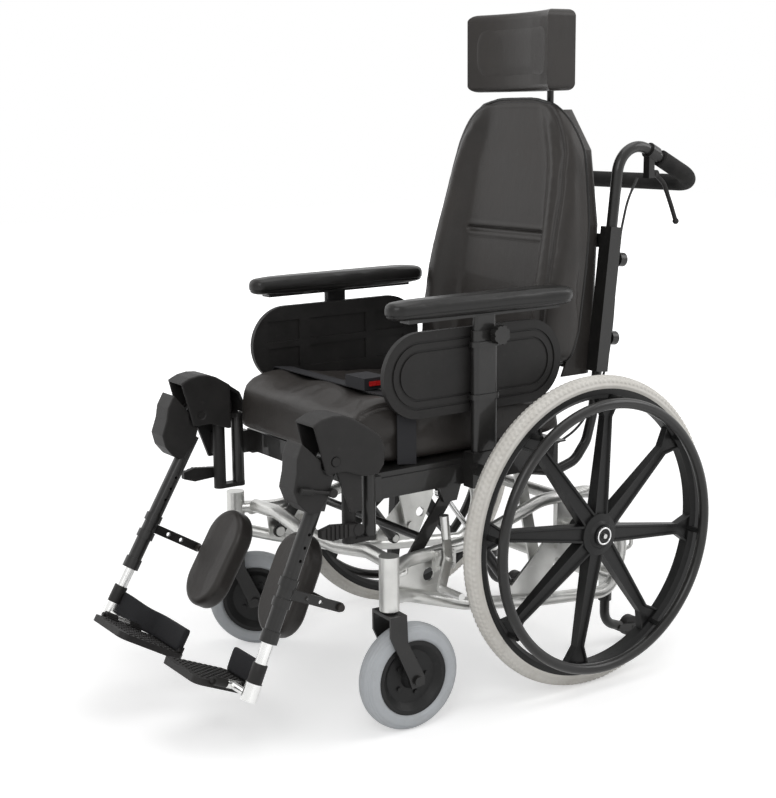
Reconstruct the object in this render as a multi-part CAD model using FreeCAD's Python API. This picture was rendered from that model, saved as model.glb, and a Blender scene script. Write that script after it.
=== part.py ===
# A tilt in space wheelchair: a push chair whose seat, back, arm rests and leg rests tilt as one.
# Millimetres, +Z up. The chair faces -Y and +X is the user's left.
# Places are laid out from the floor under the rear axle; origin_shift then moves the whole model
# along Y, so that the row's origin lies on the floor in the middle of the chair.
import FreeCAD, Part
import math
import os

os.makedirs("parts", exist_ok=True)

# Overall layout
origin_shift = 216.6
rear_wheel_diameter = 610.0
rear_wheel_track = 616.0
caster_diameter = 200.0
caster_track = 558.0
caster_ahead = 453.0
caster_trail = 39.0
side_frame_track = 470.0

# Clearances
running_gap = 0.05
seat_gap = 0.3
soft_gap = 0.4
side_play = 0.5

# Rear wheels
tyre_section = 36.0
rim_width = 34.0
rim_depth = 19.0
rim_wall = 5.0
spoke_count = 8
spoke_lean = 8.0
spoke_depth = 20.0
hub_length = 70.0
hub_radius = 24.0
hub_flange_radius = 41.0
axle_diameter = 12.7
axle_cap_diameter = 37.0
axle_button_diameter = 9.0
axle_button_travel = 3.0
hand_rim_inset = 74.0
hand_rim_diameter = rear_wheel_diameter - hand_rim_inset
hand_rim_tube = 20.0
hand_rim_offset = 50.0

# Casters
caster_tyre_width = 44.0
caster_rim_diameter = 140.0
caster_axle_diameter = 10.0
caster_stem_diameter = 12.0
caster_housing_diameter = 37.0
caster_housing_bottom = 232.0
caster_housing_top = 332.0
fork_bar_width = 34.0
fork_bar_thickness = 5.0
fork_crown_gap = 4.0
caster_yaw_left = -3.0
caster_yaw_right = -35.0
caster_bolt_count = 5

# Side frames and cross tubes
frame_tube = 25.0
front_cross_tube = 28.0
lower_cross_tube = 22.0
upper_tube_height = 299.0
lower_tube_height = 162.0
loop_top_height = 361.0
loop_rear = 158.0
plate_thickness = 5.0
axle_sleeve_wall = 6.0
tie_rod = 8.0

# Anti-tip tubes
anti_tip_half_track = 186.0
anti_tip_tube = 20.0
anti_tip_wheel_diameter = 44.0
anti_tip_wheel_width = 18.0

# Wheel locks
lock_pivot_y = -307.0
lock_pivot_z = 295.0
lock_shoe_drop = 54.0
lock_shoe_back = -16.0
lock_shoe_diameter = 14.0
lock_pin_diameter = 8.0

# Tilt linkage: front link A to B, rear link D to C, gas spring E to B
pivot_a = (-388.0, 250.0)
pivot_b = (-271.0, 403.0)
pivot_c = (-101.0, 430.0)
pivot_d = (-51.0, 204.0)
pivot_e = (-109.0, 190.0)
link_width = 26.0
link_thickness = 5.0
pivot_pin_diameter = 12.0
pin_head_diameter = 20.0
open_pivot_play = 4.2
spring_end_play = 2.0
spring_body_diameter = 22.0
spring_rod_diameter = 10.0
spring_half_track = 195.0
spring_eye_width = 10.0

# Seat frame
rail_outside = 472.0
rail_width = 20.0
rail_height = 46.0
rail_top = 470.0
rail_front = -445.0
rail_rear = -20.0
seat_pan_thickness = 3.0
seat_width = 440.0
cushion_front = -486.0
cushion_rear = 18.0
front_post_y = -467.0
front_post_tube = 25.0
front_post_bottom = 365.0
front_post_top = 500.0

# Back
back_half_track = 198.0
back_tube = 20.0
back_lean = 6.65
back_foot_y = 104.0
back_foot_z = 505.0
post_section = 30.0
post_wall = 3.5
post_bottom = 592.0
post_top = 879.0
knob_diameter = 28.0
knob_length = 16.0
shell_wall = 4.0

# Push bar
push_tube = 22.0
push_foot_z = 700.0
push_bend_z = 1060.0
push_rear_y = 385.0
push_rear_z = 952.0
push_bend_radius = 55.0
grip_diameter = 34.0
push_travel = 100.0
lever_pivot_y = 262.0
lever_pivot_z = 976.0
lever_range = 16.0

# Arm rests
arm_post_offset = 30.5
arm_post_x = seat_width / 2 + arm_post_offset
arm_post_y = -216.0
arm_post_long = 56.0
arm_post_wide = 20.0
arm_post_wall = 3.0
arm_post_bottom = 478.0
arm_post_top = 712.0
inner_post_bottom = 560.0
arm_travel = 80.0
pad_front = -429.0
pad_rear = 1.0
pad_width = 70.0
pad_bottom = 745.0
pad_thickness = 32.0
panel_front = -431.0
panel_rear = -17.0
panel_bottom = 560.0
panel_height = 158.0
panel_thickness = 11.0

# Headrest
head_half_width = 125.0
head_bottom = 1142.0
head_height = 156.0
head_stem_y = 158.0
head_stem_diameter = 14.0
head_pivot_z = 1190.0
head_pivot_diameter = 16.0
head_travel = 60.0

# Leg rests
leg_x = 238.0
hinge_y = -559.0
hinge_z = 518.0
hinge_pin_diameter = 16.0
hanger_x = 238.0
hanger_y = -510.0
hanger_tube = 25.0
leg_lean = 23.8
leg_raise_right = 7.0
leg_tube_outside = 28.0
leg_tube_inside = 22.2
foot_tube_diameter = 22.0
leg_line_y = -592.0
leg_line_z = 410.0
leg_tube_top = 474.0
leg_tube_bottom = 212.0
foot_tube_top = 330.0
foot_height = 117.0
leg_travel = 80.0
cover_inside = 214.0
cover_outside = 274.0
cover_wall = 3.0
cover_radius = 80.0
foot_plate_inner = 36.0
foot_plate_outer = 168.0
foot_plate_front = 70.0
foot_plate_rear = 76.0
foot_plate_thickness = 12.0
foot_hinge_x = 177.0
rear_rail_front = -58.0
rear_rail_back = -33.0
calf_x = 106.0
calf_half_width = 58.0
calf_height = 198.0
calf_middle = 190.0
calf_back = 117.0
calf_thickness = 39.0
calf_axis_gap = 4.5
calf_pin_diameter = 8.0
calf_bracket_wall = 6.0
calf_bracket_height = 18.0
calf_band_spacing = 36.0

# Cables
cable_diameter = 5.0

# Worked out from the sizes above
wheel_radius = rear_wheel_diameter / 2
wheel_x = rear_wheel_track / 2
tyre_ring_radius = wheel_radius - tyre_section / 2
caster_radius = caster_diameter / 2
caster_x = caster_track / 2
caster_y = -caster_ahead
side_x = side_frame_track / 2
plate_x = side_x - 6.0
rail_outer_x = rail_outside / 2
rail_inner_x = rail_outer_x - rail_width
link_outer_x = rail_inner_x - side_play
link_inner_x = link_outer_x - link_thickness
rail_bottom = rail_top - rail_height
pan_top = rail_top + seat_pan_thickness
hinge_radius = hinge_pin_diameter / 2
leg_down = FreeCAD.Vector(0, -math.sin(math.radians(leg_lean)), -math.cos(math.radians(leg_lean)))
leg_forward = FreeCAD.Vector(0, -math.cos(math.radians(leg_lean)), math.sin(math.radians(leg_lean)))


def vec(x, y, z):
    return FreeCAD.Vector(x, y, z)


def block(x0, x1, y0, y1, z0, z1):
    return Part.makeBox(x1 - x0, y1 - y0, z1 - z0, vec(x0, y0, z0))


def bar(start, end, diameter):
    run = end - start
    return Part.makeCylinder(diameter / 2, run.Length, start, run)


def bar_x(x0, x1, y, z, diameter):
    return bar(vec(x0, y, z), vec(x1, y, z), diameter)


def fused(shapes):
    return shapes[0].multiFuse(shapes[1:])


def mirrored(shape):
    return shape.mirror(vec(0, 0, 0), vec(1, 0, 0))


def both_sides(shape):
    return [shape, mirrored(shape)]


# A path of straight runs joined by tangent arcs, one bend radius for each inner point
def bent_path(points, radii):
    edges = []
    start = points[0]
    for before, corner, after, radius in zip(points, points[1:], points[2:], radii):
        back = (before - corner).normalize()
        ahead = (after - corner).normalize()
        half = back.getAngle(ahead) / 2
        reach = radius / math.tan(half)
        middle = corner + (back + ahead).normalize() * (radius / math.sin(half) - radius)
        enter = corner + back * reach
        leave = corner + ahead * reach
        edges.append(Part.LineSegment(start, enter).toShape())
        edges.append(Part.Arc(enter, middle, leave).toShape())
        start = leave
    edges.append(Part.LineSegment(start, points[-1]).toShape())
    return Part.Wire(edges)


def bent_tube(points, radii, diameter):
    path = bent_path(points, radii)
    run = points[1] - points[0]
    ring = Part.Wire(Part.makeCircle(diameter / 2, points[0], run))
    return path.makePipeShell([ring], True, False)


# A prism whose outline lies in the YZ plane, from x0 to x1
def prism_x(outline, x0, x1):
    points = [vec(x0, y, z) for y, z in outline]
    return Part.Face(Part.makePolygon(points + points[:1])).extrude(vec(x1 - x0, 0, 0))


# A flat bar with round ends between two points of the YZ plane
def link_bar(first, last, x0, x1, width):
    a = vec(x0, first[0], first[1])
    b = vec(x0, last[0], last[1])
    run = (b - a).normalize()
    side = vec(0, -run.z, run.y) * (width / 2)
    edges = [
        Part.LineSegment(a + side, b + side).toShape(),
        Part.Arc(b + side, b + run * (width / 2), b - side).toShape(),
        Part.LineSegment(b - side, a - side).toShape(),
        Part.Arc(a - side, a - run * (width / 2), a + side).toShape(),
    ]
    return Part.Face(Part.Wire(edges)).extrude(vec(x1 - x0, 0, 0))


def stadium(y0, y1, z0, z1, x0, x1):
    radius = (z1 - z0) / 2
    return link_bar((y0 + radius, z0 + radius), (y1 - radius, z0 + radius), x0, x1, z1 - z0)


# An upright oval bar: two half circles joined by straight sides, long way along Y
def oval_bar(x, y, long, wide, z0, z1):
    reach = (long - wide) / 2
    edges = [
        Part.LineSegment(vec(x + wide / 2, y - reach, z0), vec(x + wide / 2, y + reach, z0)).toShape(),
        Part.Arc(vec(x + wide / 2, y + reach, z0), vec(x, y + long / 2, z0), vec(x - wide / 2, y + reach, z0)).toShape(),
        Part.LineSegment(vec(x - wide / 2, y + reach, z0), vec(x - wide / 2, y - reach, z0)).toShape(),
        Part.Arc(vec(x - wide / 2, y - reach, z0), vec(x, y - long / 2, z0), vec(x + wide / 2, y - reach, z0)).toShape(),
    ]
    return Part.Face(Part.Wire(edges)).extrude(vec(0, 0, z1 - z0))


# A body of revolution about X from an outline of (x, radius) points
def turned_x(outline):
    points = [vec(x, 0, r) for x, r in outline]
    face = Part.Face(Part.makePolygon(points + points[:1]))
    return face.revolve(vec(0, 0, 0), vec(1, 0, 0), 360)


def polar_x(radius, degrees):
    angle = math.radians(degrees)
    return radius * math.cos(angle), radius * math.sin(angle)


def moved(shape, x, y, z):
    copy = shape.copy()
    copy.translate(vec(x, y, z))
    return copy


# Rear wheel, about its own centre, outer side towards +X
def wheel_rim():
    half = rim_width / 2
    top = tyre_ring_radius - 6.0
    return turned_x([
        (-half, top), (-half + 4.0, top), (-half + 4.0, top - rim_wall), (half - 4.0, top - rim_wall),
        (half - 4.0, top), (half, top), (half, top - 11.0), (half - 7.0, top - rim_depth),
        (-half + 7.0, top - rim_depth), (-half, top - 11.0),
    ])


def rear_tyre():
    ring = Part.makeTorus(tyre_ring_radius, tyre_section / 2, vec(0, 0, 0), vec(1, 0, 0))
    top = tyre_ring_radius - 6.0
    half = rim_width / 2
    bed = turned_x([(-half - 2, 10.0), (-half - 2, top), (-half + 4.0, top), (-half + 4.0, top - rim_wall),
                    (half - 4.0, top - rim_wall), (half - 4.0, top), (half + 2, top), (half + 2, 10.0)])
    return ring.cut(bed)


# Spoke section: a shallow channel with a ridge along each edge, wide across the wheel's plane
def spoke_section(radius, width, outer, depth):
    half = width / 2
    ridge = min(4.0, half * 0.4)
    points = [(-half, outer - depth), (half, outer - depth), (half, outer), (half - ridge, outer),
              (half - 1.5 * ridge, outer - 4.0), (-half + 1.5 * ridge, outer - 4.0),
              (-half + ridge, outer), (-half, outer)]
    corners = [vec(x, t, radius) for t, x in points]
    return Part.makePolygon(corners + corners[:1])


def rear_wheel_body():
    rim_inside = tyre_ring_radius - 6.0 - rim_depth
    sections = [spoke_section(hub_radius - 6.0, 34.0, 27.0, spoke_depth + 6.0),
                spoke_section(rim_inside - 36.0, 21.0, 12.0, spoke_depth - 4.0),
                spoke_section(rim_inside + 3.0, 62.0, 9.0, spoke_depth - 6.0)]
    spoke = Part.makeLoft(sections, True, True)
    hub = turned_x([
        (-hub_length / 2, 1.0), (-hub_length / 2, hub_radius), (8.0, hub_radius + 4.0),
        (14.0, hub_flange_radius), (27.0, hub_flange_radius), (30.0, hub_radius + 4.0),
        (hub_length / 2, hub_radius - 1.0), (hub_length / 2, 1.0),
    ])
    bodies = [wheel_rim(), hub]
    for index in range(spoke_count):
        angle = spoke_lean + index * 360.0 / spoke_count
        turned = spoke.copy()
        turned.rotate(vec(0, 0, 0), vec(1, 0, 0), -angle)
        bodies.append(turned)
        rim_seat = hand_rim_offset - hand_rim_tube / 2 - seat_gap
        stand_off = bar_x(6.0, rim_seat, 0, rim_inside + 3.0, 11.0)
        stand_off.rotate(vec(0, 0, 0), vec(1, 0, 0), -angle)
        bodies.append(stand_off)
    bore = bar_x(-hub_length, hub_length, 0, 0, axle_diameter + 2 * running_gap)
    return fused(bodies).cut(bore)


def hand_rim():
    ring_radius = hand_rim_diameter / 2 - hand_rim_tube / 2
    return Part.makeTorus(ring_radius, hand_rim_tube / 2, vec(hand_rim_offset, 0, 0), vec(1, 0, 0))


def wheel_axle():
    inner = side_x - 12.0 - wheel_x
    cap = hub_length / 2 + seat_gap
    axle = fused([bar_x(inner, cap + 4.0, 0, 0, axle_diameter), bar_x(cap, cap + 4.0, 0, 0, axle_cap_diameter)])
    return axle.cut(bar_x(cap + 4.0 - 12.0, cap + 5.0, 0, 0, axle_button_diameter + 2 * running_gap))


def axle_button():
    cap = hub_length / 2 + seat_gap
    return bar_x(cap + 4.0 - 12.0 + axle_button_travel + 1.0, cap + 8.0, 0, 0, axle_button_diameter)


# Caster parts about the stem axis, trailing towards +Y, standing on the floor
def caster_fork():
    half_inner = caster_tyre_width / 2 + 5.0
    half_outer = half_inner + fork_bar_thickness
    crown_top = caster_housing_bottom - fork_crown_gap
    crown_bottom = crown_top - fork_bar_thickness - 1.0
    half = fork_bar_width / 2
    crown = block(-half_outer, half_outer, -half, half, crown_bottom, crown_top)
    leg = prism_x([(-half, crown_top), (half, crown_top), (half + 2.0, 176.0),
                   (caster_trail + 15.0, caster_radius + 6.0), (caster_trail + 15.0, caster_radius - 10.0),
                   (caster_trail - 12.0, caster_radius - 14.0), (caster_trail - 19.0, caster_radius + 8.0),
                   (-half, 190.0)], half_inner, half_outer)
    axle = bar_x(-half_outer - 5.0, half_outer + 5.0, caster_trail, caster_radius, caster_axle_diameter)
    nut = bar_x(half_outer, half_outer + 6.0, caster_trail, caster_radius, 18.0)
    race = Part.makeCylinder(13.0, fork_crown_gap - seat_gap, vec(0, 0, crown_top))
    stem = Part.makeCylinder(caster_stem_diameter / 2, caster_housing_top - crown_top - 8.0, vec(0, 0, crown_top))
    return fused([crown, leg, mirrored(leg), axle, nut, mirrored(nut), race, stem])


def caster_rim():
    radius = caster_rim_diameter / 2
    body = turned_x([
        (-24.0, 6.0), (-24.0, 16.0), (-9.0, 22.0), (-7.0, 50.0), (-17.0, 62.0), (-17.0, radius), (17.0, radius),
        (17.0, 62.0), (7.0, 50.0), (9.0, 22.0), (24.0, 16.0), (24.0, 6.0),
    ])
    bolts = []
    for index in range(caster_bolt_count):
        y, z = polar_x(32.0, index * 360.0 / caster_bolt_count)
        bolts.append(bar_x(-12.0, 12.0, y, z, 9.0))
    return fused([body] + bolts).cut(bar_x(-30.0, 30.0, 0, 0, caster_axle_diameter + 2 * running_gap))


def caster_tyre():
    inner = caster_rim_diameter / 2
    half = caster_tyre_width / 2
    edges = [
        Part.LineSegment(vec(17.0, 0, inner), vec(half, 0, inner + 9.0)).toShape(),
        Part.LineSegment(vec(half, 0, inner + 9.0), vec(half - 1.0, 0, inner + 18.0)).toShape(),
        Part.Arc(vec(half - 1.0, 0, inner + 18.0), vec(0, 0, caster_radius), vec(1.0 - half, 0, inner + 18.0)).toShape(),
        Part.LineSegment(vec(1.0 - half, 0, inner + 18.0), vec(-half, 0, inner + 9.0)).toShape(),
        Part.LineSegment(vec(-half, 0, inner + 9.0), vec(-17.0, 0, inner)).toShape(),
        Part.LineSegment(vec(-17.0, 0, inner), vec(17.0, 0, inner)).toShape(),
    ]
    return Part.Face(Part.Wire(edges)).revolve(vec(0, 0, 0), vec(1, 0, 0), 360)


def caster_place(shape, side, yaw):
    turned = shape.copy()
    turned.rotate(vec(0, 0, 0), vec(0, 0, 1), yaw)
    turned.translate(vec(side * caster_x, caster_y, 0))
    return turned


def caster_wheel_place(shape, side, yaw):
    return caster_place(moved(shape, 0, caster_trail, caster_radius), side, yaw)


# Left side frame, welded up from a bent tube, plates, sleeve, housing, pins and loops
def side_tube():
    points = [
        vec(caster_x, caster_y, upper_tube_height - 2.0), vec(side_x, -385, upper_tube_height),
        vec(side_x, -235, upper_tube_height + 9.0), vec(side_x, -62, loop_top_height),
        vec(side_x, 82, loop_top_height), vec(side_x, loop_rear, 240), vec(side_x, 128, lower_tube_height - 22.0),
        vec(side_x, -87, lower_tube_height), vec(side_x, -250, lower_tube_height + 28.0),
        vec(side_x, -385, lower_tube_height + 72.0), vec(caster_x, caster_y, lower_tube_height + 90.0),
    ]
    return bent_tube(points, [60, 150, 120, 70, 70, 45, 150, 150, 60], frame_tube)


def pivot_pin(point, inner_x, outer_x):
    pin = bar_x(inner_x, outer_x, point[0], point[1], pivot_pin_diameter)
    boss = bar_x(link_outer_x + side_play, outer_x, point[0], point[1], pin_head_diameter)
    return [pin, boss]


def side_frame():
    plate_inner = plate_x - plate_thickness / 2
    plate_outer = plate_x + plate_thickness / 2
    gusset = prism_x([(-408, 292), (-292, 298), (-292, 216), (-400, 236)], plate_inner, plate_outer)
    hole = bar_x(plate_inner - 1.0, plate_outer + 1.0, -330, 262, 26.0)
    diagonal = prism_x([(24, 262), (-24, 296), (-130, 200), (-130, 160), (-30, 154)], plate_inner, plate_outer)
    light = bar_x(plate_inner - 1.0, plate_outer + 1.0, -14, 226, 22.0)
    carrier = block(side_x - 6.0, side_x + 6.0, -24, 24, 258, loop_top_height)
    sleeve_end = wheel_x - hub_length / 2 - seat_gap
    sleeve = bar_x(side_x - 6.0, sleeve_end, 0, wheel_radius, axle_diameter + 2 * axle_sleeve_wall)
    housing = Part.makeCylinder(caster_housing_diameter / 2, caster_housing_top - caster_housing_bottom,
                                vec(caster_x, caster_y, caster_housing_bottom))
    front_loop = bent_tube([vec(side_x + 8, -396, 300), vec(side_x + 27, -402, 286), vec(side_x + 27, -428, 284),
                            vec(side_x + 24, -436, 296)], [8, 8], tie_rod)
    rear_loop = bent_tube([vec(side_x, 146, 266), vec(side_x, 182, 262), vec(side_x, 182, 226),
                           vec(side_x, 142, 216)], [10, 10], tie_rod)
    lock_plate = block(side_x + 9.0, side_x + 19.0, -332, -284, 272, 312)
    lock_end = side_x + 19.0
    lock_pin = bar_x(lock_end, lock_end + 15.0, lock_pivot_y, lock_pivot_z, lock_pin_diameter)
    bolts = [bar_x(lock_end, lock_end + 3.0, y, z, 8.0) for y in (-325, -290) for z in (279, 305)]
    head_inner = link_inner_x - side_play - 4.0
    pins = pivot_pin(pivot_a, head_inner, plate_inner) + pivot_pin(pivot_d, head_inner, plate_inner)
    pins += [bar_x(head_inner, head_inner + 4.0, y, z, pin_head_diameter) for y, z in (pivot_a, pivot_d)]
    spring_inner = spring_half_track - spring_eye_width / 2 - 4.0
    pins.append(bar_x(spring_inner, plate_inner, pivot_e[0], pivot_e[1], spring_rod_diameter))
    pins.append(bar_x(spring_inner, spring_inner + 3.5, pivot_e[0], pivot_e[1], 16.0))
    frame = fused([side_tube(), gusset.cut(hole), diagonal.cut(light), carrier, sleeve, housing,
                   front_loop, rear_loop, lock_plate, lock_pin] + bolts + pins)
    axle_bore = bar_x(side_x - 20.0, wheel_x, 0, wheel_radius, axle_diameter + 2 * running_gap)
    stem_bore = Part.makeCylinder(caster_stem_diameter / 2 + running_gap, caster_housing_top - caster_housing_bottom - 6.0,
                                  vec(caster_x, caster_y, caster_housing_bottom))
    return frame.cut(axle_bore).cut(stem_bore)


# Front, rear and lower cross tubes with the anti-tip sockets
def cross_tubes(frames):
    front = bent_tube([vec(-252, -421, 301), vec(-165, -421, 307), vec(-62, -421, 290), vec(62, -421, 290),
                       vec(165, -421, 307), vec(252, -421, 301)], [60, 90, 90, 60], front_cross_tube)
    rear_y = 38.0
    rear = bar_x(-side_x, side_x, rear_y, loop_top_height - 22.0, frame_tube)
    lower_y = 136.0
    lower_z = lower_tube_height - 2.0
    lower = bar_x(-side_x, side_x, lower_y, lower_z, lower_cross_tube)
    socket_y = lower_y + lower_cross_tube / 2 + anti_tip_tube / 2 + 1.0
    sockets = []
    bores = []
    for side in (-1, 1):
        base = vec(side * anti_tip_half_track, socket_y, lower_z - 42.0)
        sockets.append(Part.makeCylinder(anti_tip_tube / 2 + 3.0, 62.0, base))
        bores.append(Part.makeCylinder(anti_tip_tube / 2 + seat_gap, 60.0, base))
    tubes = fused([lower] + sockets).cut(Part.makeCompound(bores))
    return [shape.cut(frames) for shape in (front, rear, tubes)]


def anti_tip_tube_shape():
    socket_y = 136.0 + lower_cross_tube / 2 + anti_tip_tube / 2 + 1.0
    low = anti_tip_wheel_diameter / 2 + 8.0
    x = anti_tip_half_track
    tube = bent_tube([vec(x, socket_y, lower_tube_height + 14.0), vec(x, socket_y, 52), vec(x, socket_y + 46.0, low + 4.0)],
                     [36], anti_tip_tube)
    collar = Part.makeCylinder(anti_tip_tube / 2 + 4.0, 16.0, vec(x, socket_y, lower_tube_height - 2.0 - 42.0 - 16.3))
    wheel_y = socket_y + 46.0 + anti_tip_wheel_diameter / 2 + 4.0
    half = anti_tip_wheel_width / 2 + side_play
    cheek = link_bar((socket_y + 40.0, low + 4.0), (wheel_y, low), x + half, x + half + 3.0, 16.0)
    other = link_bar((socket_y + 40.0, low + 4.0), (wheel_y, low), x - half - 3.0, x - half, 16.0)
    web = block(x - half - 2.0, x + half + 2.0, socket_y + 34.0, socket_y + 45.0, low - 3.0, low + 11.0)
    pin = bar_x(x - half - 4.0, x + half + 4.0, wheel_y, low, 6.0)
    return fused([tube, collar, cheek, other, web, pin])


def anti_tip_wheel():
    socket_y = 136.0 + lower_cross_tube / 2 + anti_tip_tube / 2 + 1.0
    wheel_y = socket_y + 46.0 + anti_tip_wheel_diameter / 2 + 4.0
    low = anti_tip_wheel_diameter / 2 + 8.0
    x = anti_tip_half_track
    half = anti_tip_wheel_width / 2
    return bar_x(x - half, x + half, wheel_y, low, anti_tip_wheel_diameter).cut(
        bar_x(x - half - 1, x + half + 1, wheel_y, low, 6.0 + 2 * running_gap))


def wheel_lock():
    x0 = side_x + 19.0 + 3.0 + side_play
    x1 = x0 + 6.0
    shoe_y = lock_pivot_y + lock_shoe_back
    shoe_z = lock_pivot_z - lock_shoe_drop
    hand = link_bar((lock_pivot_y, lock_pivot_z), (lock_pivot_y - 6.0, lock_pivot_z + 60.0), x0, x1, 16.0)
    foot = link_bar((lock_pivot_y, lock_pivot_z), (shoe_y, shoe_z), x0, x1, 18.0)
    grip = bar(vec(x0 + 3.0, lock_pivot_y - 4.5, lock_pivot_z + 40.0),
               vec(x0 + 3.0, lock_pivot_y - 9.0, lock_pivot_z + 84.0), 17.0)
    shoe = bar_x(x0, wheel_x + 14.0, shoe_y, shoe_z, lock_shoe_diameter)
    bore = bar_x(x0 - 1, x1 + 12, lock_pivot_y, lock_pivot_z, lock_pin_diameter + 2 * running_gap)
    return fused([hand, foot, grip, shoe]).cut(bore)


# Tilt linkage
def front_links():
    link = link_bar(pivot_a, pivot_b, link_inner_x, link_outer_x, link_width)
    hole = pivot_pin_diameter + 2 * running_gap
    for y, z in (pivot_a, pivot_b):
        link = link.cut(bar_x(link_inner_x - 1, link_outer_x + 1, y, z, hole))
    middle = ((pivot_a[0] + pivot_b[0]) / 2, (pivot_a[1] + pivot_b[1]) / 2)
    spreader = bar_x(-link_inner_x, link_inner_x, middle[0], middle[1], 16.0)
    return fused([link, mirrored(link), spreader])


def rear_links():
    link = link_bar(pivot_d, pivot_c, link_inner_x, link_outer_x, link_width)
    eye = bar_x(link_inner_x, link_outer_x, pivot_c[0], pivot_c[1], pivot_pin_diameter + 2 * open_pivot_play + 12.0)
    link = fused([link, eye])
    link = link.cut(bar_x(link_inner_x - 1, link_outer_x + 1, pivot_d[0], pivot_d[1],
                          pivot_pin_diameter + 2 * running_gap))
    link = link.cut(bar_x(link_inner_x - 1, link_outer_x + 1, pivot_c[0], pivot_c[1],
                          pivot_pin_diameter + 2 * open_pivot_play))
    return both_sides(link)


def spring_points():
    low = vec(spring_half_track, pivot_e[0], pivot_e[1])
    high = vec(spring_half_track, pivot_b[0], pivot_b[1])
    return low, high, (high - low).normalize()


def spring_cylinder():
    low, high, along = spring_points()
    half = spring_eye_width / 2
    eye = bar_x(spring_half_track - half, spring_half_track + half, low.y, low.z, 24.0)
    body = bar(low + along * 8.0, low + along * 150.0, spring_body_diameter)
    tube = fused([body, eye])
    tube = tube.cut(bar_x(spring_half_track - 20, spring_half_track + 20, low.y, low.z,
                          spring_rod_diameter + 2 * running_gap))
    return tube.cut(bar(low + along * 40.0, low + along * 151.0, spring_rod_diameter + 2 * running_gap))


def spring_rod():
    low, high, along = spring_points()
    half = spring_eye_width / 2
    rod = bar(low + along * 50.0, high - along * 6.0, spring_rod_diameter)
    eye = bar_x(spring_half_track - half, spring_half_track + half, high.y, high.z, 28.0)
    hole = bar_x(spring_half_track - 20, spring_half_track + 20, high.y, high.z,
                 pivot_pin_diameter + 2 * spring_end_play)
    return fused([rod, eye]).cut(hole)


# Seat frame: two rails, cross rails, pan, posts for the leg rests and the upper tilt pins
def seat_frame():
    rail = block(rail_inner_x, rail_outer_x, rail_front, rail_rear, rail_bottom, rail_top)
    side_plate = block(rail_outer_x, rail_outer_x + 3.0, -440, -262, rail_bottom + 7.0, rail_top - 7.0)
    post_foot = block(hanger_x - 9.0, hanger_x + 9.0, front_post_y, rail_front, rail_bottom, rail_top)
    post = Part.makeCylinder(front_post_tube / 2, front_post_top - front_post_bottom,
                             vec(hanger_x, front_post_y, front_post_bottom))
    ear = prism_x([(-298, rail_bottom + 2), (-244, rail_bottom + 2), (-256, 390), (-286, 390)],
                  rail_inner_x, rail_inner_x + plate_thickness)
    spring_inner = spring_half_track - spring_eye_width / 2 - 4.5
    pin_b = bar_x(spring_inner, rail_inner_x + plate_thickness, pivot_b[0], pivot_b[1], pivot_pin_diameter)
    head_b = bar_x(spring_inner, spring_inner + 3.5, pivot_b[0], pivot_b[1], pin_head_diameter)
    head_outer = link_inner_x - side_play
    pin_c = bar_x(head_outer - 4.0, rail_inner_x, pivot_c[0], pivot_c[1], pivot_pin_diameter)
    head_c = bar_x(head_outer - 4.0, head_outer, pivot_c[0], pivot_c[1],
                   pivot_pin_diameter + 2 * open_pivot_play + 8.0)
    side = fused([rail, side_plate, post_foot, post, ear, pin_b, head_b, pin_c, head_c])
    side = side.cut(Part.makeCylinder(6.0 + running_gap, 30.0, vec(hanger_x, front_post_y, front_post_top - 29.0)))
    side = side.cut(Part.makeCylinder(6.0 + running_gap, 30.0, vec(hanger_x, front_post_y, front_post_bottom - 1.0)))
    front = block(-rail_inner_x, rail_inner_x, rail_front, rail_front + 25.0, rail_bottom + 6, rail_top)
    rear = block(-rail_inner_x, rail_inner_x, rear_rail_front, rear_rail_back, rail_bottom, rail_top)
    frame = fused([side, mirrored(side), front, rear])
    pan = block(-rail_outer_x, rail_outer_x, rail_front, rail_rear + 20.0, rail_top, pan_top)
    return [frame, pan]


def seat_cushion():
    low = pan_top + soft_gap
    outline = [(cushion_front + 10, low), (cushion_front, 520), (cushion_front + 10, 570), (cushion_front + 38, 592),
               (-400, 598), (-250, 580), (-120, 570), (cushion_rear, 566), (cushion_rear, low)]
    half = seat_width / 2
    body = prism_x(outline, -half, half)
    edges = [e for e in body.Edges if abs(abs(e.CenterOfMass.x) - half) < 1 and e.CenterOfMass.z > 540]
    return body.makeFillet(18.0, edges)


# A point of the back's centre line at height z
def back_y(z):
    return back_foot_y + (z - back_foot_z) * math.tan(math.radians(back_lean))


def leaned_block(x0, x1, y0, y1, z0, z1):
    shape = block(x0, x1, back_foot_y + y0, back_foot_y + y1, z0, z1)
    shape.rotate(vec(0, back_foot_y, back_foot_z), vec(1, 0, 0), -back_lean)
    return shape


def back_side():
    x = back_half_track
    half = post_section / 2
    inner = half - post_wall
    tube = bent_tube([vec(x, -55, 414), vec(x, 5, 402), vec(x, 58, 416), vec(x, 88, 452),
                      vec(x, back_foot_y, back_foot_z), vec(x, back_y(640), 640)], [60, 45, 45, 80], back_tube)
    channel = leaned_block(x - half, x + half, -half, half, post_bottom, post_top)
    hollow = leaned_block(x - inner, x + inner, -inner, inner, post_bottom - 5, post_top + 5)
    plug = leaned_block(x - inner, x + inner, -inner, inner, post_bottom + 4, post_bottom + 24)
    knobs = []
    for z in (656.0, 812.0):
        start = vec(x, back_y(z) + half, z)
        out = vec(0, math.cos(math.radians(back_lean)), -math.sin(math.radians(back_lean)))
        knobs.append(bar(start - out * 2.0, start + out * 10.0, 9.0))
        knobs.append(bar(start + out * 8.0, start + out * (8.0 + knob_length), knob_diameter))
    return fused([channel.cut(hollow), plug, tube] + knobs)


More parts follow.
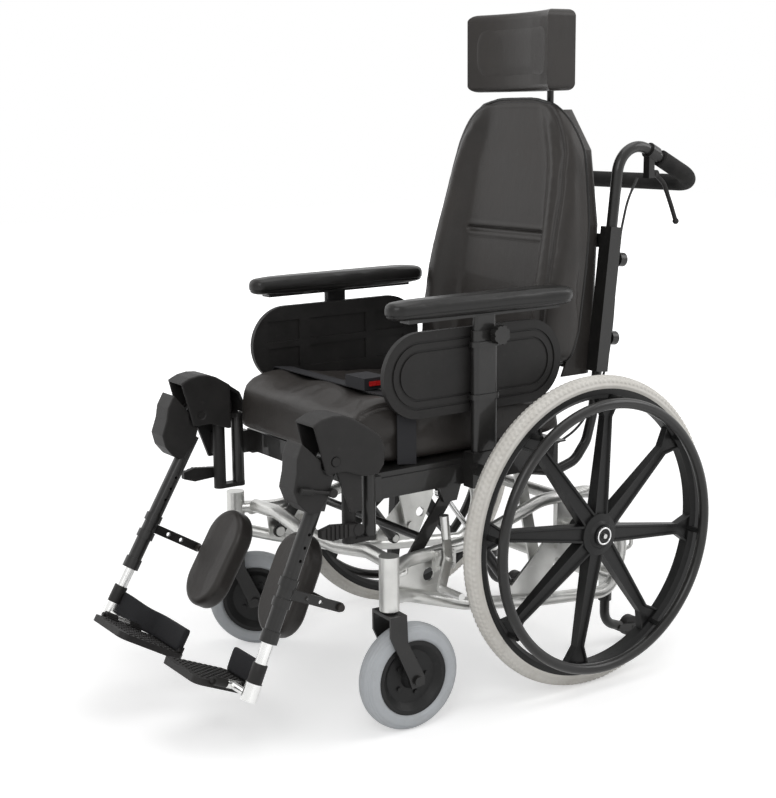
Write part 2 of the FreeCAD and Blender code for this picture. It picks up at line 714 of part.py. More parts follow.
def back_frame(seat_parts):
    reach = back_half_track - post_section / 2 + 2.0
    low_strap = block(-reach, reach, 124.7 + seat_gap, 129.5, 620, 645)
    high_strap = block(-reach, reach, 136.2 + seat_gap, 141.5, 835, 862)
    holder = block(-24, 24, 138, head_stem_y + 14, 1030, 1090)
    spine = block(-20, 20, 137.0 + seat_gap, 142.0, 855, 1050)
    stem_hole = Part.makeCylinder(head_stem_diameter / 2 + running_gap, 80.0, vec(0, head_stem_y, 1020))
    frame = fused([back_side(), mirrored(back_side()), low_strap, high_strap, spine, holder])
    return frame.cut(stem_hole).cut(seat_parts)


# Back shell: a tray open to the front, lofted through sections at a few heights
def tray_section(z, half, front, rear, corner):
    edges = [
        Part.LineSegment(vec(-half, front, z), vec(half, front, z)).toShape(),
        Part.LineSegment(vec(half, front, z), vec(half, rear - corner, z)).toShape(),
        Part.Arc(vec(half, rear - corner, z), vec(half - corner * 0.293, rear - corner * 0.293, z),
                 vec(half - corner, rear, z)).toShape(),
        Part.LineSegment(vec(half - corner, rear, z), vec(corner - half, rear, z)).toShape(),
        Part.Arc(vec(corner - half, rear, z), vec(corner * 0.293 - half, rear - corner * 0.293, z),
                 vec(-half, rear - corner, z)).toShape(),
        Part.LineSegment(vec(-half, rear - corner, z), vec(-half, front, z)).toShape(),
    ]
    return Part.Wire(edges)


def shell_levels():
    widest = back_half_track - post_section / 2 - 2.0
    return [(585, widest, 36, 118), (675, widest, 74, 128), (880, widest, 104, 137), (1026, 164, 104, 133),
            (1105, 118, 86, 122)]


# The room inside the shell's walls, from reach ahead of its front edges
def shell_room(wall, reach, foot):
    sections = []
    for z, w, f, r in shell_levels():
        height = z + foot if z < 600 else z - wall if z > 1100 else z
        sections.append(tray_section(height, w - wall, f - reach, r - wall, 17.0))
    return Part.makeLoft(sections, True, True)


def back_shell():
    outer = Part.makeLoft([tray_section(z, w, f, r, 20.0) for z, w, f, r in shell_levels()], True, True)
    return outer.cut(shell_room(shell_wall, 60.0, -1.0))


def rounded_section(z, half, front, rear, corner):
    edges = []
    points = [(half, front, 1, 1), (half, rear, 1, -1), (-half, rear, -1, -1), (-half, front, -1, 1)]
    ends = []
    for x, y, sx, sy in points:
        ends.append((vec(x - sx * corner, y, z), vec(x - sx * corner * 0.293, y + sy * corner * 0.293, z),
                     vec(x, y + sy * corner, z)))
    order = [ends[0], ends[1][::-1], ends[2], ends[3][::-1]]
    for index, (a, b, c) in enumerate(order):
        edges.append(Part.Arc(a, b, c).toShape())
        edges.append(Part.LineSegment(c, order[(index + 1) % 4][0]).toShape())
    return Part.Wire(edges)


def back_cushion():
    levels = [(594, 203, -42, 39.8), (675, 206, -36, 74), (774, 206, -20, 88.5), (830, 204, -8, 96.7), (880, 200, 4, 104),
              (943, 195, 20, 104), (1026, 184, 38, 104), (1060, 170, 44, 96), (1090, 150, 50, 89), (1110, 126, 55, 85),
              (1123, 95, 60, 81), (1129, 62, 64, 78)]
    sections = [rounded_section(z, w, f, r - soft_gap, min(24.0, (r - f) / 3)) for z, w, f, r in levels]
    return fused([Part.makeLoft(sections, True, True), shell_room(shell_wall + soft_gap, 12.0, 3.0)])


def lap_belt():
    half = seat_width / 2 + seat_gap
    top = 597.1 + seat_gap
    low = pan_top + seat_gap + 5.0
    corner = 10.0
    outline = [(-half - 2, low), (-half - 2, top - corner), (corner - half, top + 2), (half - corner, top + 2),
               (half + 2, top - corner), (half + 2, low), (half, low), (half, top - corner), (half - corner, top),
               (corner - half, top), (-half, top - corner), (-half, low)]
    points = [vec(x, -392, z) for x, z in outline]
    strap = Part.Face(Part.makePolygon(points + points[:1])).extrude(vec(0, 42, -5.0))
    shell = block(60, 124, -396, -346, 600, 622)
    pocket = block(110, 126, -386, -356, 607, 616)
    return strap, shell.cut(pocket)


def belt_button():
    return block(113, 128, -385.5, -356.5, 607.5, 615.5)


# Arm rests
def arm_socket():
    bracket = block(rail_outer_x, arm_post_x + arm_post_wide / 2 + 4.0, arm_post_y - 36, arm_post_y + 34, 420, 486)
    outer = oval_bar(arm_post_x, arm_post_y, arm_post_long, arm_post_wide, arm_post_bottom, arm_post_top)
    clips = []
    for z in (589.0, 687.0):
        clips.append(oval_bar(arm_post_x, arm_post_y, arm_post_long + 8, arm_post_wide + 6, z - 5, z + 5))
    knob_x = arm_post_x + arm_post_wide / 2
    screw = bar_x(knob_x - 1.0, knob_x + 6.0, arm_post_y + 20.0, 703, 9.0)
    knob = bar_x(knob_x + 5.0, knob_x + 19.0, arm_post_y + 20.0, 703, 36.0)
    for index in range(8):
        y, z = polar_x(20.0, index * 45.0)
        knob = knob.cut(bar_x(knob_x + 4.0, knob_x + 20.0, arm_post_y + 20.0 + y, 703 + z, 8.0))
    low_knob = bar_x(arm_post_x + arm_post_wide / 2 + 4.0, arm_post_x + arm_post_wide / 2 + 15.0, -244, 456, 22.0)
    socket = fused([bracket, outer, screw, knob, low_knob] + clips)
    wall = arm_post_wall
    return socket.cut(oval_bar(arm_post_x, arm_post_y, arm_post_long - 2 * wall, arm_post_wide - 2 * wall,
                               arm_post_bottom + 20.0, arm_post_top + 5.0))


def side_panel():
    outer_x = arm_post_x - arm_post_wide / 2 - 3.0 - seat_gap
    inner_x = outer_x - panel_thickness
    top = panel_bottom + panel_height
    panel = stadium(panel_front, panel_rear, panel_bottom, top, inner_x, outer_x)
    for inset in (16.0, 32.0):
        ring = stadium(panel_front + inset, panel_rear - inset, panel_bottom + inset, top - inset, outer_x - 2.5, outer_x + 1)
        core = stadium(panel_front + inset + 5, panel_rear - inset - 5, panel_bottom + inset + 5, top - inset - 5,
                       outer_x - 3.5, outer_x + 2)
        panel = panel.cut(ring.cut(core))
    for y0, y1 in ((-395, -320), (-295, -155), (-130, -55)):
        panel = panel.cut(block(inner_x - 1, inner_x + 3.0, y0, y1, panel_bottom + 30, panel_bottom + 72))
        panel = panel.cut(block(inner_x - 1, inner_x + 3.0, y0, y1, top - 72, top - 30))
    return panel


def arm_post():
    wall = arm_post_wall
    gap = 2 * running_gap
    inner = oval_bar(arm_post_x, arm_post_y, arm_post_long - 2 * wall - 2 * gap, arm_post_wide - 2 * wall - 2 * gap,
                     inner_post_bottom, pad_bottom - 5.0)
    plate = block(arm_post_x - 22.0, arm_post_x + 6.0, pad_front + 40, pad_rear - 40, pad_bottom - 7.0, pad_bottom)
    return fused([inner, plate])


def arm_pad():
    centre = arm_post_x - 10.0
    half = pad_width / 2
    nose = half - 9.0
    edges = [
        Part.LineSegment(vec(centre + nose, pad_front + nose, pad_bottom), vec(centre + half, -140, pad_bottom)).toShape(),
        Part.LineSegment(vec(centre + half, -140, pad_bottom), vec(centre + half, pad_rear - half, pad_bottom)).toShape(),
        Part.Arc(vec(centre + half, pad_rear - half, pad_bottom), vec(centre, pad_rear, pad_bottom),
                 vec(centre - half, pad_rear - half, pad_bottom)).toShape(),
        Part.LineSegment(vec(centre - half, pad_rear - half, pad_bottom), vec(centre - half, -140, pad_bottom)).toShape(),
        Part.LineSegment(vec(centre - half, -140, pad_bottom), vec(centre - nose, pad_front + nose, pad_bottom)).toShape(),
        Part.Arc(vec(centre - nose, pad_front + nose, pad_bottom), vec(centre, pad_front, pad_bottom),
                 vec(centre + nose, pad_front + nose, pad_bottom)).toShape(),
    ]
    return Part.Face(Part.Wire(edges)).extrude(vec(0, 0, pad_thickness))


# Push bar, grip and hand levers
def push_points():
    x = back_half_track
    return [vec(x, back_y(push_foot_z), push_foot_z), vec(x, back_y(push_bend_z), push_bend_z),
            vec(x, push_rear_y, push_rear_z), vec(-x, push_rear_y, push_rear_z),
            vec(-x, back_y(push_bend_z), push_bend_z), vec(-x, back_y(push_foot_z), push_foot_z)]


def push_slope():
    top = vec(0, back_y(push_bend_z), push_bend_z)
    return (vec(0, push_rear_y, push_rear_z) - top).normalize()


def push_bar():
    radius = push_bend_radius
    tube = bent_tube(push_points(), [radius, radius, radius, radius], push_tube)
    parts = [tube]
    for side in (-1, 1):
        centre = vec(side * back_half_track, 252.0, push_rear_z + (push_rear_y - 252.0) * -push_slope().z / push_slope().y)
        clamp = bar(centre - push_slope() * 11.0, centre + push_slope() * 11.0, push_tube + 10.0)
        horn = block(side * back_half_track - 8.0, side * back_half_track + 8.0, lever_pivot_y - 24.0,
                     lever_pivot_y - 9.0, lever_pivot_z - 8.0, centre.z)
        ear = bar_x(side * back_half_track - 9.0, side * back_half_track - 5.5, lever_pivot_y, lever_pivot_z, 18.0)
        web = block(side * back_half_track - 9.0, side * back_half_track - 5.5, lever_pivot_y - 20, lever_pivot_y,
                    lever_pivot_z - 8, lever_pivot_z + 14)
        pin = bar_x(side * back_half_track - 9.0, side * back_half_track + 6.0, lever_pivot_y, lever_pivot_z, 6.0)
        parts += [clamp, horn, ear, web, pin]
    return fused(parts)


def push_grip(bar_shape):
    slope = push_slope()
    corner = vec(back_half_track, push_rear_y, push_rear_z)
    other = vec(-back_half_track, push_rear_y, push_rear_z)
    start = corner - slope * 122.0
    end = other - slope * 122.0
    sleeve = bent_tube([start, corner, other, end], [push_bend_radius, push_bend_radius], grip_diameter)
    return sleeve.cut(bar_shape)


def hand_lever(side):
    x = side * back_half_track
    blade = bent_tube([vec(x, lever_pivot_y, lever_pivot_z), vec(x, lever_pivot_y + 26, lever_pivot_z - 20),
                       vec(x, lever_pivot_y + 48, lever_pivot_z - 66), vec(x, lever_pivot_y + 62, lever_pivot_z - 98)],
                      [30, 60], 9.0)
    eye = bar_x(x - 5.0, x + 5.0, lever_pivot_y, lever_pivot_z, 15.0)
    tip = Part.makeSphere(6.5, vec(x, lever_pivot_y + 62, lever_pivot_z - 98))
    return fused([blade, eye, tip]).cut(bar_x(x - 10, x + 10, lever_pivot_y, lever_pivot_z, 6.0 + 2 * running_gap))


# Release cables, clipped along the back from the hand levers to the seat's rear cross rail
def cable(side):
    x = side * 1.0
    points = [vec(x * 176, 236, 968), vec(x * 172, 214, 925), vec(x * 166, 200, 850), vec(x * 164, 192, 765),
              vec(x * 164, 187, 680), vec(x * 163, 176, 600), vec(x * 161, 150, 528), vec(x * 158, 104, 468),
              vec(x * 155, 40, 440), vec(x * 152, rear_rail_back + seat_gap, 436)]
    radii = []
    for before, corner, after in zip(points, points[1:], points[2:]):
        back = before - corner
        ahead = after - corner
        turn = math.pi - back.getAngle(ahead)
        radii.append(0.45 * min(back.Length, ahead.Length) / math.tan(turn / 2))
    tube = bent_tube(points, radii, cable_diameter)
    length = bent_path(points, radii).Length
    section = math.pi * cable_diameter ** 2 / 4
    print("cable", side, "length", round(length, 1), "radii", [round(r) for r in radii],
          "volume over section times length", round(tube.Volume / (section * length), 4))
    return tube


# Headrest
def headrest_pad():
    half = head_half_width
    edges = [
        Part.Arc(vec(-half, 40, head_bottom), vec(0, 72, head_bottom), vec(half, 40, head_bottom)).toShape(),
        Part.LineSegment(vec(half, 40, head_bottom), vec(half, 112, head_bottom)).toShape(),
        Part.Arc(vec(half, 112, head_bottom), vec(0, 142, head_bottom), vec(-half, 112, head_bottom)).toShape(),
        Part.LineSegment(vec(-half, 112, head_bottom), vec(-half, 40, head_bottom)).toShape(),
    ]
    pad = Part.Face(Part.Wire(edges)).extrude(vec(0, 0, head_height))
    return pad.makeFillet(14.0, [e for e in pad.Edges if e.BoundBox.ZLength < 1])


def headrest_hinge_block():
    block_shape = block(-15, 15, 141.0, head_stem_y + 8, head_pivot_z - 12, head_pivot_z + 12)
    slot = block(-8.5, 8.5, head_stem_y - 15, head_stem_y + 15, head_pivot_z - 20, head_pivot_z + 20)
    bore = bar_x(-20, 20, head_stem_y, head_pivot_z, head_pivot_diameter / 2 + 2 * running_gap)
    return block_shape.cut(slot).cut(bore)


def headrest_stem():
    stem = Part.makeCylinder(head_stem_diameter / 2, head_pivot_z - 1000.0, vec(0, head_stem_y, 1000))
    knuckle = bar_x(-8.0, 8.0, head_stem_y, head_pivot_z, head_pivot_diameter)
    pin = bar_x(-19, 24, head_stem_y, head_pivot_z, head_pivot_diameter / 2)
    arm = bar(vec(22, head_stem_y, head_pivot_z), vec(26, head_stem_y + 36, head_pivot_z - 28), 7.0)
    return fused([stem, knuckle, pin, arm])


# Leg rests: shapes of the left one, mirrored for the right
def polar_point(radius, degrees):
    y, z = polar_x(radius, degrees)
    return hinge_y + y, hinge_z + z


def leg_point(height):
    step = (leg_line_z - height) / math.cos(math.radians(leg_lean))
    return vec(leg_x, leg_line_y, leg_line_z) + leg_down * step


def hanger():
    tube = Part.makeCylinder(hanger_tube / 2, front_post_top - front_post_bottom + 16.0,
                             vec(hanger_x, hanger_y, front_post_bottom - 8.0))
    arm_x = cover_outside - cover_wall - 12.0
    lugs = []
    for z0, pin_from, pin_to in ((front_post_top + seat_gap, -24.0, 0.0), (front_post_bottom - 8.0 - seat_gap, 7.0, 32.0)):
        lugs.append(block(hanger_x - 11.0, hanger_x + 11.0, hanger_y, front_post_y, z0, z0 + 8.0))
        lugs.append(Part.makeCylinder(13.0, 8.0, vec(hanger_x, front_post_y, z0)))
        lugs.append(Part.makeCylinder(6.0, pin_to - pin_from, vec(hanger_x, front_post_y, z0 + pin_from)))
    arm = prism_x([(hanger_y - 12, 420), (hanger_y + 10, 420), (hanger_y + 10, 500), (-541, 534), (-552, 500)],
                  arm_x, arm_x + 7.0)
    spacer = block(hanger_x + 4.0, arm_x + 1.0, hanger_y - 9.0, hanger_y + 9.0, 426, 470)
    eye = bar_x(arm_x, arm_x + 7.0, hinge_y, hinge_z, 42.0)
    pin = bar_x(cover_inside + 1.0, cover_outside + 2.0, hinge_y, hinge_z, hinge_pin_diameter)
    return fused([tube, arm, spacer, eye, pin] + lugs)


def rear_cover():
    a = polar_point(cover_radius, 122)
    b = polar_point(cover_radius, 92)
    c = polar_point(cover_radius, 64)
    wall = cover_wall
    outer = prism_x([a, polar_point(cover_radius, 107), b, polar_point(cover_radius, 78), c, (-492, 570), (-466, 552), (-456, 528), (-458, 500),
                     (-470, 484), (-500, 484), (-539, 498), (-578, 498)], cover_inside, cover_outside)
    inside = cover_radius - wall
    inner = prism_x([polar_point(inside + 30, 124), polar_point(inside, 124), polar_point(inside, 107), polar_point(inside, 92),
                     polar_point(inside, 78), polar_point(inside, 64), (-494, 566),
                     (-469, 550), (-459, 527), (-461, 500), (-461, 470), (-620, 470)], cover_inside + wall, cover_outside - wall)
    hole = bar_x(cover_inside - 1, cover_outside + 1, hinge_y, hinge_z, hinge_pin_diameter + 2 * seat_gap)
    cushion_side = block(seat_width / 2 - 15.0, seat_width / 2 + 5.0, cushion_front - 8.0, hanger_y + 100.0, 400, 700)
    post_room = Part.makeCylinder(front_post_tube / 2 + 2.0, 40.0, vec(hanger_x, front_post_y, front_post_top - 30.0))
    return outer.cut(inner).cut(hole).cut(cushion_side).cut(post_room)


def front_cover():
    x0 = cover_inside + wall_step()
    x1 = cover_outside - wall_step()
    outer = prism_x([polar_point(74, 148), polar_point(75, 170), polar_point(76, 189), polar_point(92, 207),
                     polar_point(98, 222), polar_point(100, 238), polar_point(94, 250), polar_point(56, 262),
                     polar_point(26, 262), polar_point(26, 230), polar_point(26, 200), polar_point(26, 170)], x0, x1)
    inner = prism_x([polar_point(71, 146), polar_point(72, 170), polar_point(73, 189), polar_point(89, 207),
                     polar_point(95, 222), polar_point(96, 237), polar_point(110, 250), polar_point(110, 275),
                     polar_point(10, 275), polar_point(10, 140)], leg_x - leg_tube_outside / 2 - seat_gap, x1 - 2.5)
    return outer.cut(inner)


def wall_step():
    return cover_wall + 1.0


def leg_tube():
    top = leg_point(leg_tube_top)
    bottom = leg_point(leg_tube_bottom)
    tube = bar(top, bottom, leg_tube_outside)
    plate = prism_x([(hinge_y - 18, hinge_z - 9), (top.y - 30, top.z + 4), (top.y - 44, top.z - 38), (top.y - 8, top.z - 46),
                     (top.y + 8, top.z + 2), (hinge_y + 19, hinge_z - 6)], leg_x + 4.0, leg_x + 18.0)
    eye = bar_x(leg_x + 4.0, leg_x + 18.0, hinge_y, hinge_z, 40.0)
    bands = []
    for height in (calf_middle - calf_band_spacing / 2, calf_middle + calf_band_spacing / 2):
        centre = leg_point(foot_height) - leg_down * height
        bands.append(bar(centre - leg_down * 8.0, centre + leg_down * 8.0, leg_tube_outside + 6.0))
    axis = calf_axis()
    half_wall = calf_bracket_wall / 2
    half_height = calf_bracket_height / 2
    bands.append(plate_block(leg_x - half_wall, leg_x + half_wall, -(calf_back + calf_axis_gap), 2.0 - leg_tube_outside / 2,
                             calf_middle - half_height, calf_middle + half_height))
    bands.append(bar_x(leg_x - half_wall, leg_x + half_wall, axis.y, axis.z, calf_bracket_height))
    collar = bar(leg_point(leg_tube_bottom + 16.0), leg_point(leg_tube_bottom - 4.0), leg_tube_outside + 5.0)
    body = fused([tube, plate, eye, collar] + bands)
    body = body.cut(bar(leg_point(400.0), leg_point(150.0), leg_tube_inside))
    body = body.cut(bar_x(leg_x, leg_x + 30, hinge_y, hinge_z, hinge_pin_diameter + 2 * running_gap))
    for z in (390.0, 368.0, 346.0):
        point = leg_point(z)
        body = body.cut(bar_x(leg_x - 20, leg_x + 20, point.y, point.z, 6.0))
    body = body.cut(bar_x(leg_x - calf_bracket_wall, leg_x + calf_bracket_wall, axis.y, axis.z, calf_pin_diameter + 2 * running_gap))
    for reach in (46.0, 78.0):
        point = leg_point(foot_height) - leg_down * calf_middle - leg_forward * reach
        body = body.cut(bar_x(leg_x - calf_bracket_wall, leg_x + calf_bracket_wall, point.y, point.z, 9.0))
    return body


def foot_tube():
    tube = bar(leg_point(foot_tube_top), leg_point(foot_height - 4.0), foot_tube_diameter)
    end = leg_point(foot_height)
    knuckle = bar(end - leg_down * 26.0, end + leg_down * 6.0, foot_tube_diameter + 8.0)
    up = -leg_down
    axis = vec(foot_hinge_x, end.y, end.z) + up * 3.0
    arm = bar(axis, vec(leg_x, axis.y, axis.z), 14.0)
    eye = bar(axis - leg_forward * 14.0, axis + leg_forward * 14.0, 16.0)
    body = fused([tube, knuckle, arm, eye])
    return body.cut(bar(axis - leg_forward * 60.0, axis + leg_forward * 60.0, 8.0 + 2 * running_gap))


# A box in the foot plate's own directions: x, forward along the plate, up along the leg
def plate_block(x0, x1, u0, u1, n0, n1):
    end = leg_point(foot_height)
    shape = block(x0, x1, -u1, -u0, n0, n1)
    shape.rotate(vec(0, 0, 0), vec(1, 0, 0), -leg_lean)
    shape.translate(vec(0, end.y, end.z))
    return shape


def plate_bar(x, u0, u1, n, diameter):
    end = leg_point(foot_height)
    start = vec(x, end.y, end.z) + leg_forward * u0 - leg_down * n
    return bar(start, start + leg_forward * (u1 - u0), diameter)


def foot_plate():
    plate = plate_block(foot_plate_inner, foot_plate_outer, -foot_plate_rear, foot_plate_front,
                        -foot_plate_thickness, 0)
    upright = [e for e in plate.Edges if abs(e.Length - foot_plate_thickness) < 0.1]
    plate = plate.makeFillet(16.0, upright)
    lip = plate_block(foot_plate_inner + 14, foot_plate_outer - 14, -foot_plate_rear, -foot_plate_rear + 5, 0, 12)
    knuckles = []
    for u0, u1 in ((15.0, 40.0), (-40.0, -15.0)):
        knuckles.append(plate_bar(foot_hinge_x, u0, u1, 3.0, 16.0))
        knuckles.append(plate_block(foot_plate_outer - 6, foot_hinge_x, u0, u1, -6, 3))
    pin = plate_bar(foot_hinge_x, -46, 46, 3.0, 8.0)
    return fused([plate, lip, pin] + knuckles)


def heel_strap():
    end = leg_point(foot_height)
    low = vec(0, end.y, end.z) - leg_forward * (foot_plate_rear - 8.0)
    lift = -leg_down
    points = [vec(foot_plate_inner + 18, low.y, low.z), vec(foot_plate_inner + 30, low.y, low.z) + lift * 34.0,
              vec(foot_plate_outer - 30, low.y, low.z) + lift * 34.0, vec(foot_plate_outer - 18, low.y, low.z)]
    return bent_tube([p + lift * seat_gap for p in points], [18, 18], 10.0)


# The calf pad turns about a cross pin at the rear end of its bracket
def calf_axis():
    end = leg_point(foot_height)
    return vec(0, end.y, end.z) - leg_down * calf_middle - leg_forward * (calf_back + calf_axis_gap)


def calf_pad():
    end = leg_point(foot_height)
    centre = vec(calf_x, end.y, end.z) - leg_down * calf_middle - leg_forward * calf_back
    half = calf_height / 2
    radius = calf_half_width
    edges = [
        Part.LineSegment(vec(-radius, 0, radius - half), vec(-radius, 0, half - radius)).toShape(),
        Part.Arc(vec(-radius, 0, half - radius), vec(0, 0, half), vec(radius, 0, half - radius)).toShape(),
        Part.LineSegment(vec(radius, 0, half - radius), vec(radius, 0, radius - half)).toShape(),
        Part.Arc(vec(radius, 0, radius - half), vec(0, 0, -half), vec(-radius, 0, radius - half)).toShape(),
    ]
    pad = Part.Face(Part.Wire(edges)).extrude(vec(0, -calf_thickness, 0))
    rims = [e for e in pad.Edges if e.BoundBox.YLength < 0.1]
    pad = pad.makeFillet(12.0, rims)
    pad.rotate(vec(0, 0, 0), vec(1, 0, 0), -leg_lean)
    pad.translate(centre)
    return pad


def calf_arm():
    axis = calf_axis()
    inside = leg_x - calf_bracket_wall / 2 - side_play
    outside = leg_x + calf_bracket_wall / 2 + side_play
    pin = bar_x(calf_x, outside + 5.0, axis.y, axis.z, calf_pin_diameter)
    head = bar_x(outside, outside + 5.0, axis.y, axis.z, 14.0)
    shoulder = bar_x(inside - 12.0, inside, axis.y, axis.z, 14.0)
    middle = vec(calf_x, axis.y, axis.z)
    plate = bar(middle + leg_forward * (calf_axis_gap - seat_gap), middle - leg_forward * 3.0, 46.0)
    return fused([pin, head, shoulder, plate])


def release_lever():
    x = cover_outside - wall_step() + side_play
    boss = bar_x(x, x + 8.0, -566, 464, 16.0)
    shaft = bar(vec(x + 4.0, -566, 464), vec(x + 4.0, -612, 474), 6.0)
    tip = bar(vec(x + 6.5, -608, 473), vec(x + 6.5, -632, 478), 11.0)
    return fused([boss, shaft, tip])


def latch_handle():
    x = hanger_x + hanger_tube / 2 + side_play
    boss = bar_x(x, x + 14.0, hanger_y + 4, 386, 22.0)
    grip = prism_x([(hanger_y + 4, 396), (hanger_y + 4, 377), (-560, 374), (-584, 382), (-584, 396), (-560, 402)], x + 1.0, x + 13.0)
    for index in range(6):
        y = -576 + index * 9.0
        grip = grip.cut(block(x + 11.0, x + 14.0, y, y + 4.0, 370, 406))
    return fused([boss, grip])


# The right leg rest stands raised a little further than the left one
def right_leg(shape):
    turned = mirrored(shape)
    turned.rotate(vec(0, hinge_y, hinge_z), vec(1, 0, 0), -leg_raise_right)
    return turned


def save(name, shapes):
    whole = shapes if isinstance(shapes, list) else [shapes]
    solid = whole[0] if len(whole) == 1 else Part.makeCompound(whole)
    solid = moved(solid, 0, origin_shift, 0)
    solid.exportStep("parts/" + name + ".step")
    print(name, "solids", len(solid.Solids), "valid", solid.isValid(), "volume", round(solid.Volume / 1000, 1))


# Base
frames = both_sides(side_frame())
axle = moved(wheel_axle(), wheel_x, 0, wheel_radius)
save("side_frames", frames + both_sides(axle))
save("cross_tubes", cross_tubes(Part.makeCompound(frames)))
save("anti_tip_tubes", both_sides(anti_tip_tube_shape()))
save("anti_tip_wheels", both_sides(anti_tip_wheel()))

tyre = moved(rear_tyre(), wheel_x, 0, wheel_radius)
wheel = moved(rear_wheel_body(), wheel_x, 0, wheel_radius)
rim = moved(hand_rim(), wheel_x, 0, wheel_radius)
button = moved(axle_button(), wheel_x, 0, wheel_radius)
lock = wheel_lock()
for name, shape in (("rear_tyre", tyre), ("rear_wheel", wheel), ("hand_rim", rim), ("axle_button", button),
                    ("wheel_lock", lock)):
    save(name + "_left", shape)
    save(name + "_right", mirrored(shape))

for side_name, side, yaw in (("left", 1, caster_yaw_left), ("right", -1, caster_yaw_right)):
    save("caster_fork_" + side_name, caster_place(caster_fork(), side, yaw))
    save("caster_wheel_" + side_name, caster_wheel_place(caster_rim(), side, yaw))
    save("caster_tyre_" + side_name, caster_wheel_place(caster_tyre(), side, yaw))

# Tilt linkage
save("front_links", front_links())
save("rear_links", rear_links())
save("spring_cylinders", both_sides(spring_cylinder()))
save("spring_rods", both_sides(spring_rod()))

# Seat and back
seat_parts = seat_frame()
save("seat_frame", seat_parts)
save("seat_cushion", seat_cushion())
save("back_frame", back_frame(Part.makeCompound(seat_parts)))
save("back_shell", back_shell())
save("back_cushion", back_cushion())
belt_strap, belt_shell = lap_belt()
save("lap_belt", [belt_strap.cut(belt_shell), belt_shell])
save("belt_button", belt_button())

# Arm rests
save("arm_sockets", both_sides(arm_socket()))
save("side_panels", both_sides(side_panel()))
for name, shape in (("arm_post", arm_post()), ("arm_pad", arm_pad())):
    save(name + "_left", shape)
    save(name + "_right", mirrored(shape))

# Push bar
bar_shape = push_bar()
save("push_bar", bar_shape)
save("push_grip", push_grip(bar_shape))
save("hand_lever_left", hand_lever(1))
save("hand_lever_right", hand_lever(-1))
save("lever_cables", [cable(1), cable(-1)])

# Headrest
save("headrest_stem", headrest_stem())
pad_body = headrest_pad()
save("headrest_pad", [pad_body, headrest_hinge_block().cut(pad_body)])

# Leg rests
for name, shapes in (("leg_hanger", [hanger(), rear_cover()]), ("leg_tube", [leg_tube()]), ("leg_cover", [front_cover()]),
                     ("foot_tube", [foot_tube()]), ("foot_plate", [foot_plate(), heel_strap()]),
                     ("calf_pad", [calf_pad(), calf_arm()]), ("release_lever", [release_lever()]),
                     ("latch_handle", [latch_handle()])):
    save(name + "_left", shapes)
    place = mirrored if name in ("leg_hanger", "latch_handle") else right_leg
    save(name + "_right", [place(shape) for shape in shapes])
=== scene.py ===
# Looks of a tilt in space wheelchair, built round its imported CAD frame
import bpy, math
import numpy as np
from mathutils import Matrix, Vector
from mathutils.bvhtree import BVHTree


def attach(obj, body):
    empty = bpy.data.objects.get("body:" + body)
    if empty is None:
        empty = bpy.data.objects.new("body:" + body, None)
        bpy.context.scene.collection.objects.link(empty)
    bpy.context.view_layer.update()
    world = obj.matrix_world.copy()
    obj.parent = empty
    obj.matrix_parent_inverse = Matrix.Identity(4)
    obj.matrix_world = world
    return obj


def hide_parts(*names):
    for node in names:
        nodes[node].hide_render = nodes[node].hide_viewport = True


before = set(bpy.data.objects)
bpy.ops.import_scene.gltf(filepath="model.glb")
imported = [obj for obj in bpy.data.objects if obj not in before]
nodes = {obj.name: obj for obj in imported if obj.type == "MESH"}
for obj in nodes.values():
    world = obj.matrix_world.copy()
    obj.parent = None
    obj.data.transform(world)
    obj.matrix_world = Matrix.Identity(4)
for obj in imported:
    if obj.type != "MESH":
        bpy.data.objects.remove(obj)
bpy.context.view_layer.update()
wheelSpan = [(nodes["rear_tyre_left"].matrix_world @ Vector(c)).y for c in nodes["rear_tyre_left"].bound_box]
rowShift = (min(wheelSpan) + max(wheelSpan)) / 2  # the rear axle stands this far behind the row's origin
sides = {"left": 1, "right": -1}


def say(text):
    print("wheelchair:", text, flush=True)


# shader sums
class Wire:  # a socket in a sum: each operator adds one Math node
    def __init__(self, finish, socket):
        self.finish = finish
        self.socket = socket

    def sum(self, operation, *values):
        return self.finish.node("ShaderNodeMath", {"operation": operation}, dict(enumerate(values)))

    def __add__(self, other): return self.sum("ADD", self, other)
    def __radd__(self, other): return self.sum("ADD", other, self)
    def __sub__(self, other): return self.sum("SUBTRACT", self, other)
    def __rsub__(self, other): return self.sum("SUBTRACT", other, self)
    def __mul__(self, other): return self.sum("MULTIPLY", self, other)
    def __rmul__(self, other): return self.sum("MULTIPLY", other, self)
    def __truediv__(self, other): return self.sum("DIVIDE", self, other)
    def __pow__(self, other): return self.sum("POWER", self, other)
    def __gt__(self, other): return self.sum("GREATER_THAN", self, other)
    def __lt__(self, other): return self.sum("LESS_THAN", self, other)
    def sine(self): return self.sum("SINE", self)
    def most(self, other): return self.sum("MAXIMUM", self, other)
    def size(self): return self.sum("ABSOLUTE", self)


